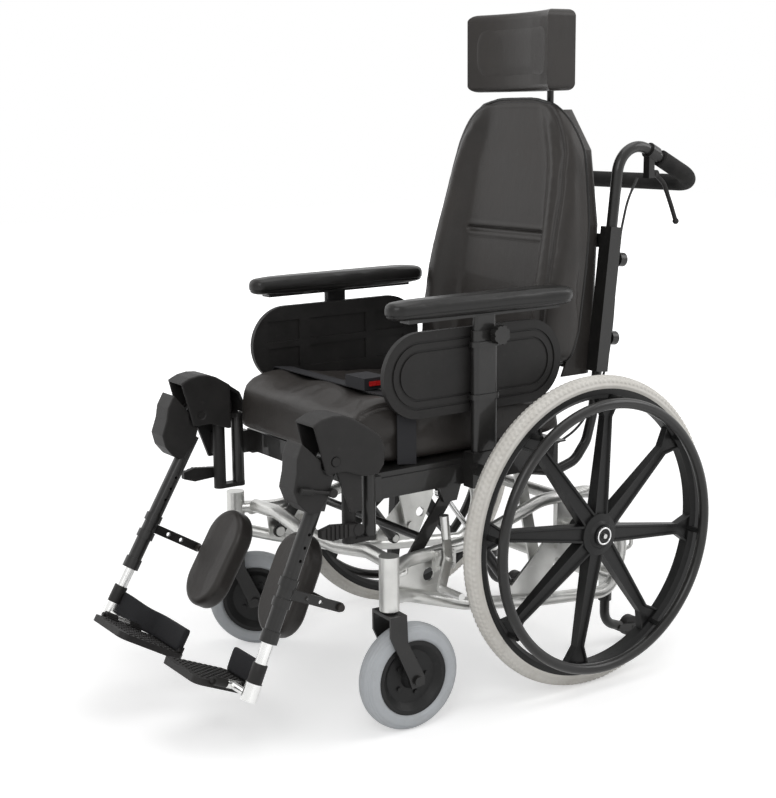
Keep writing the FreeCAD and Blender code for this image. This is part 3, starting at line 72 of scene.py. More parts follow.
class Finish:  # one material and the nodes that it is made of
    def __init__(self, name):
        self.material = bpy.data.materials.new(name)
        self.material.use_nodes = True
        self.tree = self.material.node_tree
        self.shader = self.tree.nodes["Principled BSDF"]

    def node(self, kind, settings=None, sockets=None, take=0):
        made = self.tree.nodes.new(kind)
        for key, value in (settings or {}).items():
            if key == "stops":
                ramp = made.color_ramp
                while len(ramp.elements) < len(value):
                    ramp.elements.new(0.5)
                for element, (place, colour) in zip(ramp.elements, value):
                    element.position = place
                    element.color = colour
            else:
                setattr(made, key, value)
        for key, value in (sockets or {}).items():
            self.feed(made.inputs[key], value)
        return Wire(self, made.outputs[take])

    def feed(self, socket, value):
        if isinstance(value, Wire):
            self.tree.links.new(value.socket, socket)
        else:
            socket.default_value = value

    def place(self, scale=(1, 1, 1), turn=(0, 0, 0), source="Object"):
        start = self.node("ShaderNodeTexCoord", take=source)
        return self.node("ShaderNodeMapping", {}, {"Vector": start, "Scale": scale, "Rotation": turn})

    def noise(self, scale, detail=3.0, rough=0.5, at=None):
        return self.node("ShaderNodeTexNoise", {}, {"Vector": at or self.place(), "Scale": scale, "Detail": detail, "Roughness": rough})

    def cells(self, scale, at=None, feature="F1"):
        return self.node("ShaderNodeTexVoronoi", {"feature": feature}, {"Vector": at or self.place(), "Scale": scale})

    def ramp(self, value, low, high):  # value from low to high becomes 0 to 1
        return self.node("ShaderNodeMapRange", {"clamp": True}, {"Value": value, "From Min": low, "From Max": high})

    def mix(self, share, first, second):
        return self.node("ShaderNodeMix", {"data_type": "RGBA"}, {0: share, 6: first, 7: second}, take=2)

    def bump(self, height, strength, distance, under=None):
        sockets = {"Height": height, "Strength": strength, "Distance": distance}
        if under:
            sockets["Normal"] = under
        return self.node("ShaderNodeBump", {}, sockets)

    def set(self, **values):
        for key, value in values.items():
            self.feed(self.shader.inputs[key.replace("_", " ")], value)
        return self.material


def tint(colour, share):  # the colour, lighter or darker by a share
    return tuple(min(1.0, c * share) for c in colour[:3]) + (1.0,)


# finishes
silverLook = {"colour": (0.64, 0.64, 0.62), "scuff": 0.82, "roughness": 0.30}
blackLook = {"colour": (0.014, 0.0135, 0.013), "roughness": 0.36}
vinylLook = {"colour": (0.027, 0.024, 0.022), "grain": 900.0, "roughness": 0.46}
armLook = {"colour": (0.014, 0.0135, 0.013), "grain": 520.0, "roughness": 0.36}
plasticLook = {"colour": (0.016, 0.0152, 0.0148), "grain": 1400.0, "roughness": 0.46}
wheelLook = {"colour": (0.013, 0.013, 0.013), "grain": 1100.0, "roughness": 0.40}
tyreLook = {"colour": (0.66, 0.64, 0.60), "dust": (0.50, 0.47, 0.42), "roughness": 0.62}
casterLook = {"colour": (0.46, 0.48, 0.50), "dust": (0.36, 0.36, 0.36), "roughness": 0.58}
webLook = {"colour": (0.020, 0.020, 0.022), "thread": 900.0}


def silverPaint():
    f = Finish("silverPaint")
    c = silverLook["colour"]
    blot = f.ramp(f.noise(14.0, 4.0, 0.6), 0.35, 0.7)
    scratch = f.ramp(f.noise(70.0, 5.0, 0.65, f.place((1, 0.15, 1), (0.5, 0.2, 0.3))), 0.62, 0.70)
    base = f.mix(blot, tint(c, 1.0), tint(c, silverLook["scuff"]))
    base = f.mix(scratch * 0.35, base, (0.82, 0.82, 0.82, 1))
    flake = f.noise(2400.0, 2.0)
    return f.set(Base_Color=base, Metallic=0.85, Roughness=blot * 0.10 + silverLook["roughness"] + scratch * 0.06,
                 Normal=f.bump(flake + f.noise(90.0, 2.0) * 2.0, 0.10, 0.0006), Coat_Weight=0.25)


def blackPaint(name, look, shine=0.3):
    f = Finish(name)
    c = look["colour"]
    blot = f.ramp(f.noise(22.0, 4.0, 0.6), 0.3, 0.75)
    peel = f.noise(420.0, 2.0)
    dust = f.ramp(f.noise(120.0, 4.0, 0.7), 0.60, 0.78)
    base = f.mix(blot, tint(c, 0.8), tint(c, 1.35))
    base = f.mix(dust * 0.18, base, (0.11, 0.105, 0.10, 1))
    return f.set(Base_Color=base, Roughness=look["roughness"] + blot * 0.08 + dust * 0.1, Coat_Weight=shine,
                 Normal=f.bump(peel, 0.16, 0.0005))


def grainedPlastic(name, look, depth=0.35):
    f = Finish(name)
    c = look["colour"]
    grain = f.cells(look["grain"], feature="SMOOTH_F1")
    blot = f.ramp(f.noise(18.0, 4.0, 0.6), 0.3, 0.7)
    rub = f.ramp(f.noise(60.0, 5.0, 0.7), 0.60, 0.75)
    base = f.mix(blot, tint(c, 0.8), tint(c, 1.3))
    base = f.mix(rub * 0.25, base, tint(c, 3.2))
    return f.set(Base_Color=base, Roughness=look["roughness"] + blot * 0.08 - rub * 0.06,
                 Normal=f.bump(grain, depth, 0.0004))


def skin(name, look, creases=0.35):  # vinyl and foam skin: fine pebble grain, slow creases, rubbed places
    f = Finish(name)
    c = look["colour"]
    pebble = f.cells(look["grain"], feature="SMOOTH_F1")
    pores = f.noise(look["grain"] * 2.2, 2.0)
    slow = f.noise(9.0, 4.0, 0.55)
    crease = f.noise(38.0, 3.0, 0.6, f.place((1, 1, 0.4)))
    blot = f.ramp(slow, 0.32, 0.72)
    base = f.mix(blot, tint(c, 0.85), tint(c, 1.28))
    under = f.bump(crease, creases, 0.0022)
    return f.set(Base_Color=base, Roughness=look["roughness"] + blot * 0.10 - pebble * 0.10,
                 Normal=f.bump(pebble + pores * 0.5, 0.30, 0.0005, under), Coat_Weight=0.08)


def rubber(name, look):
    f = Finish(name)
    dirt = f.ramp(f.noise(26.0, 5.0, 0.65), 0.45, 0.78)
    fine = f.noise(700.0, 3.0)
    speck = f.ramp(f.noise(210.0, 4.0, 0.7), 0.62, 0.74)
    base = f.mix(dirt * 0.45, tint(look["colour"], 1.04), tint(look["dust"], 1.0))
    base = f.mix(speck * 0.35, base, tint(look["dust"], 0.8))
    return f.set(Base_Color=base, Roughness=look["roughness"] + dirt * 0.12, Normal=f.bump(fine, 0.25, 0.0005))


def foamGrip():
    f = Finish("foamGrip")
    opened = f.cells(1300.0)
    blot = f.ramp(f.noise(30.0, 4.0), 0.3, 0.7)
    return f.set(Base_Color=f.mix(blot, (0.016, 0.016, 0.016, 1), (0.034, 0.033, 0.032, 1)), Roughness=0.93,
                 Normal=f.bump(opened + f.noise(2600.0, 2.0), 0.8, 0.0008))


def webbing():  # woven belt: ribs across, threads along, on the belt's own map
    f = Finish("webbing")
    at = f.node("ShaderNodeTexCoord", take="UV")
    parts = f.node("ShaderNodeSeparateXYZ", {}, {"Vector": at})
    across = Wire(f, parts.socket.node.outputs[1])
    rib = (parts * webLook["thread"]).sine() * 0.5 + 0.5
    yarn = (across * webLook["thread"] * 1.7).sine() * 0.5 + 0.5
    weave = rib * 0.7 + yarn * 0.3
    base = f.mix(weave, tint(webLook["colour"], 0.6), tint(webLook["colour"], 1.9))
    return f.set(Base_Color=base, Roughness=0.78, Normal=f.bump(weave, 0.7, 0.0006))


def brightMetal(name, colour, roughness, brush=(1, 1, 0.05)):
    f = Finish(name)
    lines = f.noise(600.0, 3.0, 0.6, f.place(brush))
    blot = f.ramp(f.noise(24.0, 3.0), 0.3, 0.7)
    return f.set(Base_Color=f.mix(blot, tint(colour, 0.9), tint(colour, 1.05)), Metallic=1.0,
                 Roughness=roughness + lines * 0.10, Normal=f.bump(lines, 0.06, 0.0004))


def glossPlastic(name, colour):
    f = Finish(name)
    blot = f.ramp(f.noise(60.0, 3.0), 0.3, 0.7)
    return f.set(Base_Color=f.mix(blot, tint(colour, 0.85), tint(colour, 1.1)), Roughness=0.24 + blot * 0.08,
                 Normal=f.bump(f.noise(300.0, 2.0), 0.05, 0.0004), Coat_Weight=0.4)


say("finishes")
silver = silverPaint()
blackSteel = blackPaint("blackSteel", blackLook)
wheelPlastic = grainedPlastic("wheelPlastic", wheelLook, 0.22)
blackPlastic = grainedPlastic("blackPlastic", plasticLook)
vinyl = skin("vinyl", vinylLook)
armSkin = skin("armSkin", armLook, 0.12)
paleTyre = rubber("paleTyre", tyreLook)
casterRubber = rubber("casterRubber", casterLook)
gripFoam = foamGrip()
webStrap = webbing()
redPlastic = glossPlastic("redPlastic", (0.62, 0.02, 0.02))
rodChrome = brightMetal("rodChrome", (0.75, 0.75, 0.75), 0.08)
boltSteel = brightMetal("boltSteel", (0.60, 0.60, 0.59), 0.24, (1, 1, 1))
tubeSilver = brightMetal("tubeSilver", (0.80, 0.80, 0.79), 0.20)
cableSheath = blackPaint("cableSheath", {"colour": (0.012, 0.012, 0.012), "roughness": 0.45}, 0.1)

for dull in (blackSteel, wheelPlastic, blackPlastic, vinyl, armSkin, gripFoam, webStrap):
    dull.node_tree.nodes["Principled BSDF"].inputs["Specular IOR Level"].default_value = 0.24
nodeFinish = {
    "side_frames": silver, "cross_tubes": silver, "anti_tip_tubes": blackSteel, "anti_tip_wheels": blackPlastic,
    "front_links": blackSteel, "rear_links": silver, "spring_cylinders": blackSteel, "spring_rods": rodChrome,
    "seat_frame": blackSteel, "back_frame": blackSteel, "back_shell": vinyl, "seat_cushion": vinyl, "back_cushion": vinyl,
    "lap_belt": webStrap, "belt_button": redPlastic, "arm_sockets": blackSteel, "side_panels": blackPlastic,
    "push_bar": blackSteel, "push_grip": gripFoam, "lever_cables": cableSheath, "headrest_stem": blackSteel, "headrest_pad": vinyl,
}
pairFinish = {
    "rear_tyre": paleTyre, "rear_wheel": wheelPlastic, "hand_rim": blackSteel, "axle_button": boltSteel, "wheel_lock": boltSteel,
    "caster_fork": blackSteel, "caster_wheel": wheelPlastic, "caster_tyre": casterRubber, "arm_post": blackSteel,
    "arm_pad": armSkin, "hand_lever": blackPlastic, "leg_hanger": blackPlastic, "leg_tube": blackSteel, "leg_cover": blackPlastic,
    "foot_tube": tubeSilver, "foot_plate": blackPlastic, "calf_pad": vinyl, "release_lever": blackPlastic, "latch_handle": blackPlastic,
}
for name, finish in pairFinish.items():
    for side in sides:
        nodeFinish[name + "_" + side] = finish
for name, finish in nodeFinish.items():
    nodes[name].data.materials.clear()
    nodes[name].data.materials.append(finish)
say("CAD nodes painted: %d" % len(nodeFinish))

# surfaces
def at(points):  # from millimetres about the rear axle's floor point to the row's metres
    return (np.asarray(points, float) + (0, rowShift * 1000, 0)) / 1000.0


def makePiece(name, points, faces, finish, body, smooth=True, replaces=()):
    mesh = bpy.data.meshes.new(name)
    mesh.from_pydata(np.asarray(points).reshape(-1, 3).tolist(), [], [tuple(int(i) for i in f) for f in faces])
    mesh.materials.append(finish)
    if smooth:
        mesh.polygons.foreach_set("use_smooth", np.ones(len(mesh.polygons), bool))
    mesh.validate()
    mesh.update()
    piece = bpy.data.objects.new(name, mesh)
    bpy.context.collection.objects.link(piece)
    if body:
        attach(piece, body)
    if replaces:
        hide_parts(*replaces)
    return piece


# faces between the rows of a grid: row i, column j joins row i + 1 and column j + 1; either way may close on itself
def gridFaces(rows, columns, closeRows=False, closeColumns=True, start=0):
    i = np.arange(rows if closeRows else rows - 1)
    j = np.arange(columns if closeColumns else columns - 1)
    i, j = np.meshgrid(i, j, indexing="ij")
    i2, j2 = (i + 1) % rows, (j + 1) % columns
    quads = np.stack([i * columns + j, i * columns + j2, i2 * columns + j2, i2 * columns + j], -1)
    return (quads.reshape(-1, 4) + start).tolist()


# a closed grid: rows of rings with a point at each end
def cappedFaces(rows, columns, start=0):
    faces = gridFaces(rows, columns, start=start)
    j = np.arange(columns)
    j2 = (j + 1) % columns
    first, last = rows * columns + start, rows * columns + 1 + start
    faces += np.stack([np.full(columns, first), j2 + start, j + start], -1).tolist()
    top = (rows - 1) * columns + start
    faces += np.stack([np.full(columns, last), top + j, top + j2], -1).tolist()
    return faces


# a closed line through corners, rounded by cutting the corners and spread evenly
def softLoop(corners, count, rounds=3):
    line = np.asarray(corners, float)
    for _ in range(rounds):
        after = np.roll(line, -1, axis=0)
        line = np.stack([line * 0.75 + after * 0.25, line * 0.25 + after * 0.75], 1).reshape(-1, line.shape[1])
    whole = np.vstack([line, line[:1]])
    run = np.concatenate([[0], np.cumsum(np.linalg.norm(np.diff(whole, axis=0), axis=1))])
    want = np.linspace(0, run[-1], count, endpoint=False)
    return np.stack([np.interp(want, run, whole[:, k]) for k in range(whole.shape[1])], -1)


# an open line through points, rounded in the same way, its ends kept
def softLine(corners, count, rounds=3):
    line = np.asarray(corners, float)
    for _ in range(rounds):
        cut = np.stack([line[:-1] * 0.75 + line[1:] * 0.25, line[:-1] * 0.25 + line[1:] * 0.75], 1).reshape(-1, line.shape[1])
        line = np.vstack([line[:1], cut[1:-1], line[-1:]])
    run = np.concatenate([[0], np.cumsum(np.linalg.norm(np.diff(line, axis=0), axis=1))])
    want = np.linspace(0, run[-1], count)
    return np.stack([np.interp(want, run, line[:, k]) for k in range(line.shape[1])], -1)


# a flat loop's points moved inwards by a distance
def inwards(loop, distance):
    ahead = np.roll(loop, -1, axis=0) - np.roll(loop, 1, axis=0)
    ahead /= np.linalg.norm(ahead, axis=1)[:, None]
    normal = np.stack([ahead[:, 1], -ahead[:, 0]], -1)
    area = np.sum(loop[:, 0] * np.roll(loop[:, 1], -1) - np.roll(loop[:, 0], -1) * loop[:, 1])
    return loop - normal * (distance if area > 0 else -distance)


# a pad: a flat outline carried through its thickness, drawn in along a quarter circle at both faces, and closed by
# rings that shrink to the middle. place turns (a, b, depth) arrays into x, y, z
def padPoints(loop, thick, edge, place, rings=7, turns=6):
    middle = inwards(loop, edge).mean(0)
    inner = inwards(loop, edge)
    rows = [(middle + (inner - middle) * share, 0.0) for share in np.linspace(0.12, 0.92, rings)]
    for angle in np.linspace(0, np.pi / 2, turns):
        rows.append((inwards(loop, edge * (1 - np.sin(angle))), edge * (1 - np.cos(angle))))
    far = [(flat, thick - depth) for flat, depth in rows[::-1]]
    rows += far
    flats = np.concatenate([r[0] for r in rows] + [middle[None], middle[None]])
    depths = np.concatenate([np.full(len(loop), r[1]) for r in rows] + [[0.0], [thick]])
    return place(flats[:, 0], flats[:, 1], depths), cappedFaces(len(rows), len(loop))


# a section carried along a path: each ring is the section turned to stand square to the path, and the ends are closed
def tubePoints(path, section, upright=(0, 0, 1), scales=None):
    path = np.asarray(path, float)
    along = np.gradient(path, axis=0)
    along /= np.linalg.norm(along, axis=1)[:, None]
    side = np.cross(np.broadcast_to(np.asarray(upright, float), along.shape), along)
    side /= np.linalg.norm(side, axis=1)[:, None]
    over = np.cross(along, side)
    scales = np.ones(len(path)) if scales is None else np.asarray(scales, float)
    rings = path[:, None] + (side[:, None] * section[None, :, :1] + over[:, None] * section[None, :, 1:]) * scales[:, None, None]
    points = np.concatenate([rings.reshape(-1, 3), path[:1], path[-1:]])
    return points, cappedFaces(len(path), len(section))


def circle(radius, count=16):
    turn = np.arange(count) * 2 * np.pi / count
    return np.stack([np.cos(turn), np.sin(turn)], -1) * radius


def flipped(shape):  # the same shape on the chair's other side
    points, faces = shape
    return points * (-1, 1, 1), [f[::-1] for f in faces]


def coords(piece):
    flat = np.empty(len(piece.data.vertices) * 3)
    piece.data.vertices.foreach_get("co", flat)
    return flat.reshape(-1, 3)


def setCoords(piece, points):
    piece.data.vertices.foreach_set("co", np.asarray(points).ravel())
    piece.data.update()


def normalsAt(piece):
    flat = np.empty(len(piece.data.vertices) * 3)
    piece.data.vertices.foreach_get("normal", flat)
    return flat.reshape(-1, 3)


def settle(piece):  # the modifiers' result becomes the piece's own mesh
    graph = bpy.context.evaluated_depsgraph_get()
    done = bpy.data.meshes.new_from_object(piece.evaluated_get(graph))
    piece.modifiers.clear()
    old = piece.data
    piece.data = done
    bpy.data.meshes.remove(old)
    done.polygons.foreach_set("use_smooth", np.ones(len(done.polygons), bool))


# a pad filled with foam: remeshed even, blown up as cloth by a little pressure, its movement capped, then smoothed
def swell(piece, look):
    remesh = piece.modifiers.new("even", "REMESH")
    remesh.mode = "VOXEL"
    remesh.voxel_size = look["voxel"]
    settle(piece)
    start = coords(piece)
    if look.get("pressure", 0) > 0:
        scene = bpy.context.scene
        cloth = piece.modifiers.new("swell", "CLOTH")
        cloth.settings.quality = 4
        cloth.settings.mass = 0.3
        cloth.settings.use_pressure = True
        cloth.settings.uniform_pressure_force = look["pressure"]
        cloth.settings.tension_stiffness = cloth.settings.compression_stiffness = 12
        cloth.settings.bending_stiffness = 0.6
        cloth.settings.effector_weights.gravity = 0
        cloth.point_cache.frame_start, cloth.point_cache.frame_end = 1, 20
        for step in range(1, 21):
            scene.frame_set(step)
        graph = bpy.context.evaluated_depsgraph_get()
        blown = bpy.data.meshes.new_from_object(piece.evaluated_get(graph))
        flat = np.empty(len(blown.vertices) * 3)
        blown.vertices.foreach_get("co", flat)
        move = flat.reshape(-1, 3) - start
        bpy.data.meshes.remove(blown)
        piece.modifiers.clear()
        scene.frame_set(1)
        move -= move.mean(0)
        reach = np.linalg.norm(move, axis=1)[:, None]
        move *= np.minimum(1, look["cap"] / np.maximum(reach, 1e-9))
        hold = look.get("hold")  # 0 where the pad is held, 1 where it may swell
        setCoords(piece, start + move * (hold(start)[:, None] if hold else 1))
    smooth = piece.modifiers.new("smooth", "SMOOTH")
    smooth.factor = 0.5
    smooth.iterations = look.get("smooth", 4)
    fine = piece.modifiers.new("fine", "SUBSURF")
    fine.levels = fine.render_levels = look.get("fine", 1)
    settle(piece)


# a seam or crease: points are drawn in along their normals by depth * exp(-(distance / width)^2) from the line,
# with a soft welt beside it
def crease(piece, line, width, depth, welt=0.25):
    points, normals = coords(piece), normalsAt(piece)
    line = np.asarray(line, float)
    near = np.where(np.all((points > line.min(0) - width * 5) & (points < line.max(0) + width * 5), axis=1))[0]
    if len(near) == 0:
        return
    p = points[near]
    best = np.full(len(near), 1e9)
    for a, b in zip(line[:-1], line[1:]):
        t = np.clip(((p - a) @ (b - a)) / max((b - a) @ (b - a), 1e-12), 0, 1)
        best = np.minimum(best, np.linalg.norm(p - a - t[:, None] * (b - a), axis=1))
    pull = np.exp(-(best / width) ** 2) - welt * np.exp(-((best - width * 2.4) / width) ** 2)
    points[near] -= normals[near] * (pull * depth)[:, None]
    setCoords(piece, points)


def onto(piece, line):  # the nearest points of a piece to a line's, and the normals there
    tree = BVHTree.FromPolygons(coords(piece).tolist(), [list(p.vertices) for p in piece.data.polygons])
    found = [tree.find_nearest(Vector(p)) for p in line]
    return np.array([f[0] for f in found]), np.array([f[1] for f in found])


def evenly(line, step):  # points along a line, a step apart
    run = np.concatenate([[0], np.cumsum(np.linalg.norm(np.diff(line, axis=0), axis=1))])
    want = np.arange(step / 2, run[-1], step)
    return np.stack([np.interp(want, run, line[:, k]) for k in range(3)], -1)


# stitches: short grains of thread, each a six sided spindle whose radius follows a half circle, laid along a line
def stitches(name, piece, line, finish, body, pitch=0.0045, length=0.0030, radius=0.00042, lift=0.0001):
    marks, normals = onto(piece, evenly(np.asarray(line, float), pitch))
    along = np.gradient(marks, axis=0)
    along /= np.maximum(np.linalg.norm(along, axis=1), 1e-9)[:, None]
    across = np.cross(normals, along)
    t = np.array([-1.0, -0.7, 0.0, 0.7, 1.0])
    r = np.sqrt(np.maximum(0, 1 - t ** 2)) * radius + 0.00004
    turn = np.arange(6) * np.pi / 3
    ring = (np.cos(turn)[None, None, :, None] * across[:, None, None] + np.sin(turn)[None, None, :, None] * normals[:, None, None])
    points = marks[:, None, None] + along[:, None, None] * (t * length / 2)[None, :, None, None] + ring * r[None, :, None, None]
    points = points + normals[:, None, None] * lift
    faces = []
    base = np.asarray(gridFaces(len(t), 6))
    ends = [list(range(6))[::-1], list(range((len(t) - 1) * 6, len(t) * 6))]
    for k in range(len(marks)):
        faces += (base + k * len(t) * 6).tolist() + [[i + k * len(t) * 6 for i in end] for end in ends]
    return makePiece(name, points.reshape(-1, 3), faces, finish, body)


thread = blackPaint("thread", {"colour": (0.05, 0.05, 0.052), "roughness": 0.6}, 0.0)
say("surfaces ready")


def facesOut(piece):  # a closed piece's faces all turned outwards
    import bmesh
    work = bmesh.new()
    work.from_mesh(piece.data)
    bmesh.ops.recalc_face_normals(work, faces=work.faces)
    work.to_mesh(piece.data)
    work.free()


def curveOf(table):  # a value looked up along a table of (place, value) pairs
    table = np.asarray(table, float)
    return lambda where: np.interp(where, table[:, 0], table[:, 1])


def rise(value, low, high):  # 0 below low, 1 above high, and smooth between
    t = np.clip((value - low) / (high - low), 0, 1)
    return t * t * (3 - 2 * t)


# rear tyres
say("rear tyres")
rearTyre = {"ring": 287.0, "section": 18.0, "tread": 1.5, "blocks": 168, "around": 1008, "across": 46, "x": 308.0, "z": 305.0}


# ring of radius R, section of radius r at angle f from outwards: blocks stand where two square waves agree
def rearTyreShape(look):
    turn = np.arange(look["around"]) * 2 * np.pi / look["around"]
    angle = np.radians(np.linspace(-112, 112, look["across"]))
    t, f = np.meshgrid(turn, angle, indexing="ij")
    deg = np.abs(np.degrees(f))
    wave = lambda shift: rise(np.sin(t * look["blocks"] + shift), -0.35, 0.25)
    inner = rise(deg, 13, 17) * (1 - rise(deg, 34, 38)) * wave(np.sign(f) * 1.2)
    outer = rise(deg, 42, 46) * (1 - rise(deg, 64, 72)) * wave(np.sign(f) * 1.2 + np.pi)
    middle = 1 - rise(deg, 8, 12)
    wallRing = 0.25 * np.exp(-((deg - 92) / 4.0) ** 2)
    height = look["tread"] * (np.maximum(np.maximum(inner, outer), middle) + wallRing)
    shoulder = look["tread"] * rise(deg, 75, 90) * (deg >= 75)
    radius = look["section"] - look["tread"] + height + shoulder
    across, out = radius * np.sin(f), look["ring"] + radius * np.cos(f)
    bed = [(across[:, -1] * 0 + 12.0, out[:, -1] * 0 + 281.2), (across[:, -1] * 0 - 12.0, out[:, -1] * 0 + 281.2)]
    across = np.concatenate([across, bed[0][0][:, None], bed[1][0][:, None]], 1)
    out = np.concatenate([out, bed[0][1][:, None], bed[1][1][:, None]], 1)
    t = np.concatenate([t, t[:, :2]], 1)
    points = np.stack([look["x"] + across, out * np.sin(t), look["z"] + out * np.cos(t)], -1).reshape(-1, 3)
    return points, gridFaces(look["around"], across.shape[1], closeRows=True)


tyreShape = rearTyreShape(rearTyre)
for side, sign in sides.items():
    points, faces = tyreShape if sign > 0 else flipped(tyreShape)
    piece = makePiece("tyre_" + side, at(points), faces, paleTyre, "rear_wheel_" + side,
                      replaces=("rear_tyre_" + side,))
    facesOut(piece)

# caster tyres
casterTyre = {"outside": 100.0, "inside": 70.0, "half": 22.0, "groove": 1.3, "across": 40, "around": 200,
              "yaw": {"left": -3.0, "right": -35.0}, "x": 279.0, "y": -453.0, "trail": 39.0}


# section of half width w from the bead out over a round crown, with fine rings pressed into the crown
def casterTyreShape(look):
    turn = np.arange(look["around"]) * 2 * np.pi / look["around"]
    angle = np.radians(np.linspace(-100, 100, look["across"]))
    deg = np.degrees(angle)
    ringDip = sum(np.exp(-((np.abs(deg) - place) / 3.2) ** 2) for place in (9, 26, 43, 58))
    radius = 1 - look["groove"] / 18 * ringDip
    x = np.sign(angle) * np.abs(np.sin(angle)) ** 0.85 * (look["half"] - 0.2) * radius
    out = 79.0 + (look["outside"] - 79.0) * np.sign(np.cos(angle)) * np.abs(np.cos(angle)) ** 0.8 * radius
    x = np.concatenate([x, [17.0, -17.0]])
    out = np.concatenate([out, [look["inside"] + 0.1, look["inside"] + 0.1]])
    points = np.stack([np.broadcast_to(x, (len(turn), len(x))), out * np.sin(turn)[:, None], out * np.cos(turn)[:, None]], -1)
    return points.reshape(-1, 3), gridFaces(len(turn), len(x), closeRows=True)


def atCaster(points, side):  # from about the wheel's centre to its place beside the stem
    yaw, sign = math.radians(casterTyre["yaw"][side]), sides[side]
    p = np.asarray(points, float) + (0, casterTyre["trail"], 100.0)
    x = p[:, 0] * math.cos(yaw) - p[:, 1] * math.sin(yaw) + sign * casterTyre["x"]
    y = p[:, 0] * math.sin(yaw) + p[:, 1] * math.cos(yaw) + casterTyre["y"]
    return np.stack([x, y, p[:, 2]], -1)


points, faces = casterTyreShape(casterTyre)
for side in sides:
    piece = makePiece("casterTyre_" + side, at(atCaster(points, side)), faces, casterRubber, "caster_wheel_" + side,
                      replaces=("caster_tyre_" + side,))
    facesOut(piece)

# seat cushion
say("seat cushion")
seatPad = {"half": 216.0, "edge": 20.0, "voxel": 0.006, "pressure": 4.0, "cap": 0.007, "smooth": 6, "fine": 1,
           "profile": [(-476, 477), (-483, 505), (-482, 545), (-474, 572), (-455, 586), (-420, 592), (-380, 591), (-300, 582), (-200, 573),
                       (-100, 566), (0, 561), (13, 550), (14, 515), (14, 477)],
           "thigh": 9.0, "hollow": 8.0, "seamX": 207.0}
loop = softLoop(seatPad["profile"], 110, 2)
points, faces = padPoints(loop, 2 * seatPad["half"], seatPad["edge"],
                          lambda a, b, d: np.stack([d - seatPad["half"], a, b], -1))
cushion = makePiece("seatCushion", at(points), faces, vinyl, "seat", replaces=("seat_cushion",))
facesOut(cushion)
swell(cushion, dict(seatPad, hold=lambda p: rise(p[:, 2], 0.480, 0.515)))
p = coords(cushion) * 1000 - (0, rowShift * 1000, 0)
topMask = rise(p[:, 2], 545, 575)
thighs = seatPad["thigh"] * np.exp(-((np.abs(p[:, 0]) - 95) / 55) ** 2) * rise(p[:, 1], -485, -430) * (1 - rise(p[:, 1], -260, -120) * 0.5)
sit = seatPad["hollow"] * np.exp(-(p[:, 0] / 150) ** 2) * rise(p[:, 1], -400, -300)
p[:, 2] -= (thighs + sit) * topMask
p[:, 2] = np.maximum(p[:, 2], 473.5)
p[:, 1] = np.maximum(p[:, 1], -485.6)
setCoords(cushion, at(p))
seatTop = curveOf([(-478, 565), (-455, 584), (-420, 590), (-380, 590), (-300, 581), (-200, 572), (-100, 565), (0, 560)])
for side, sign in sides.items():
    y = np.linspace(-458, 0, 90)
    line = at(np.stack([np.full(90, sign * seatPad["seamX"]), y, seatTop(y) - 4], -1))
    line, _ = onto(cushion, line)
    crease(cushion, line, 0.0035, 0.0022)
    stitches("seatStitch_" + side, cushion, line + (-sign * 0.006, 0, 0), thread, "seat")
    stitches("seatStitchOuter_" + side, cushion, line + (sign * 0.005, 0, -0.004), thread, "seat")

# back cushion
say("back cushion")
backPad = {"edge": 15.0, "thick": 80.0, "voxel": 0.0055, "pressure": 3.0, "cap": 0.006, "smooth": 5, "fine": 1,
           "half": [(590, 200), (594, 201), (675, 203), (774, 203), (830, 201), (880, 197), (943, 192), (1026, 181), (1060, 167), (1090, 147),
                    (1110, 124), (1123, 93), (1129, 60)],
           "edgeFront": [(594, -39), (675, -33), (774, -17), (830, -5), (880, 7), (943, 23), (1026, 41), (1060, 47), (1090, 53), (1129, 64)],
           "middleFront": [(594, 8), (700, 22), (800, 36), (864, 45), (943, 54), (1026, 62), (1090, 66), (1129, 68)],
           "rear": [(594, 37), (675, 71), (774, 85), (830, 93), (880, 100), (1026, 100), (1060, 93), (1090, 87), (1129, 76)],
           "flat": [(594, 120), (864, 115), (1000, 104), (1129, 60)], "seamZ": 864.0, "stitchInset": 11.0}
table = {k: curveOf(backPad[k]) for k in ("half", "edgeFront", "middleFront", "rear", "flat")}


# front face: the middle panel lies back, and the wings at both sides come forward over a smooth step
def backFront(x, z):
    inner = table["flat"](z)
    step = 1 - rise(np.abs(x), inner, inner + 52)
    return table["edgeFront"](z) + (table["middleFront"](z) - table["edgeFront"](z)) * step


def backPlace(x, z, d):
    front, rear = backFront(x, z), table["rear"](z)
    share = d / backPad["thick"]
    return np.stack([x, front + (rear - front) * share, z], -1)


heights = np.array([h for h, _ in backPad["half"]], float)
outline = [(table["half"](h), h) for h in heights[1:]] + [(30, 1131), (-30, 1131)]
outline += [(-table["half"](h), h) for h in heights[1:][::-1]]
loop = softLoop(outline, 150, 2)
loop[:, 1] = np.maximum(loop[:, 1], 595)
points, faces = padPoints(loop, backPad["thick"], backPad["edge"], backPlace, rings=22, turns=6)
backCushion = makePiece("backCushion", at(points), faces, vinyl, "seat", replaces=("back_cushion",))
facesOut(backCushion)
swell(backCushion, dict(backPad, hold=lambda p: 1 - rise(p[:, 1], 0.262, 0.285)))
seam = np.stack([np.linspace(-112, 112, 60), np.full(60, 30.0), np.full(60, backPad["seamZ"])], -1)
seam, _ = onto(backCushion, at(seam))
crease(backCushion, seam, 0.0045, 0.0042, 0.35)
stitches("backSeamStitch", backCushion, seam + (0, 0, 0.0045), thread, "seat", pitch=0.006)
rimZ = np.concatenate([np.linspace(600, 1085, 110), np.linspace(1090, 1120, 14)])
rim = np.stack([table["half"](rimZ) - backPad["stitchInset"], table["edgeFront"](rimZ) + 2, rimZ], -1)
acrossTop = np.stack([np.linspace(82, -82, 24), np.full(24, 63.0), np.full(24, 1121.0)], -1)
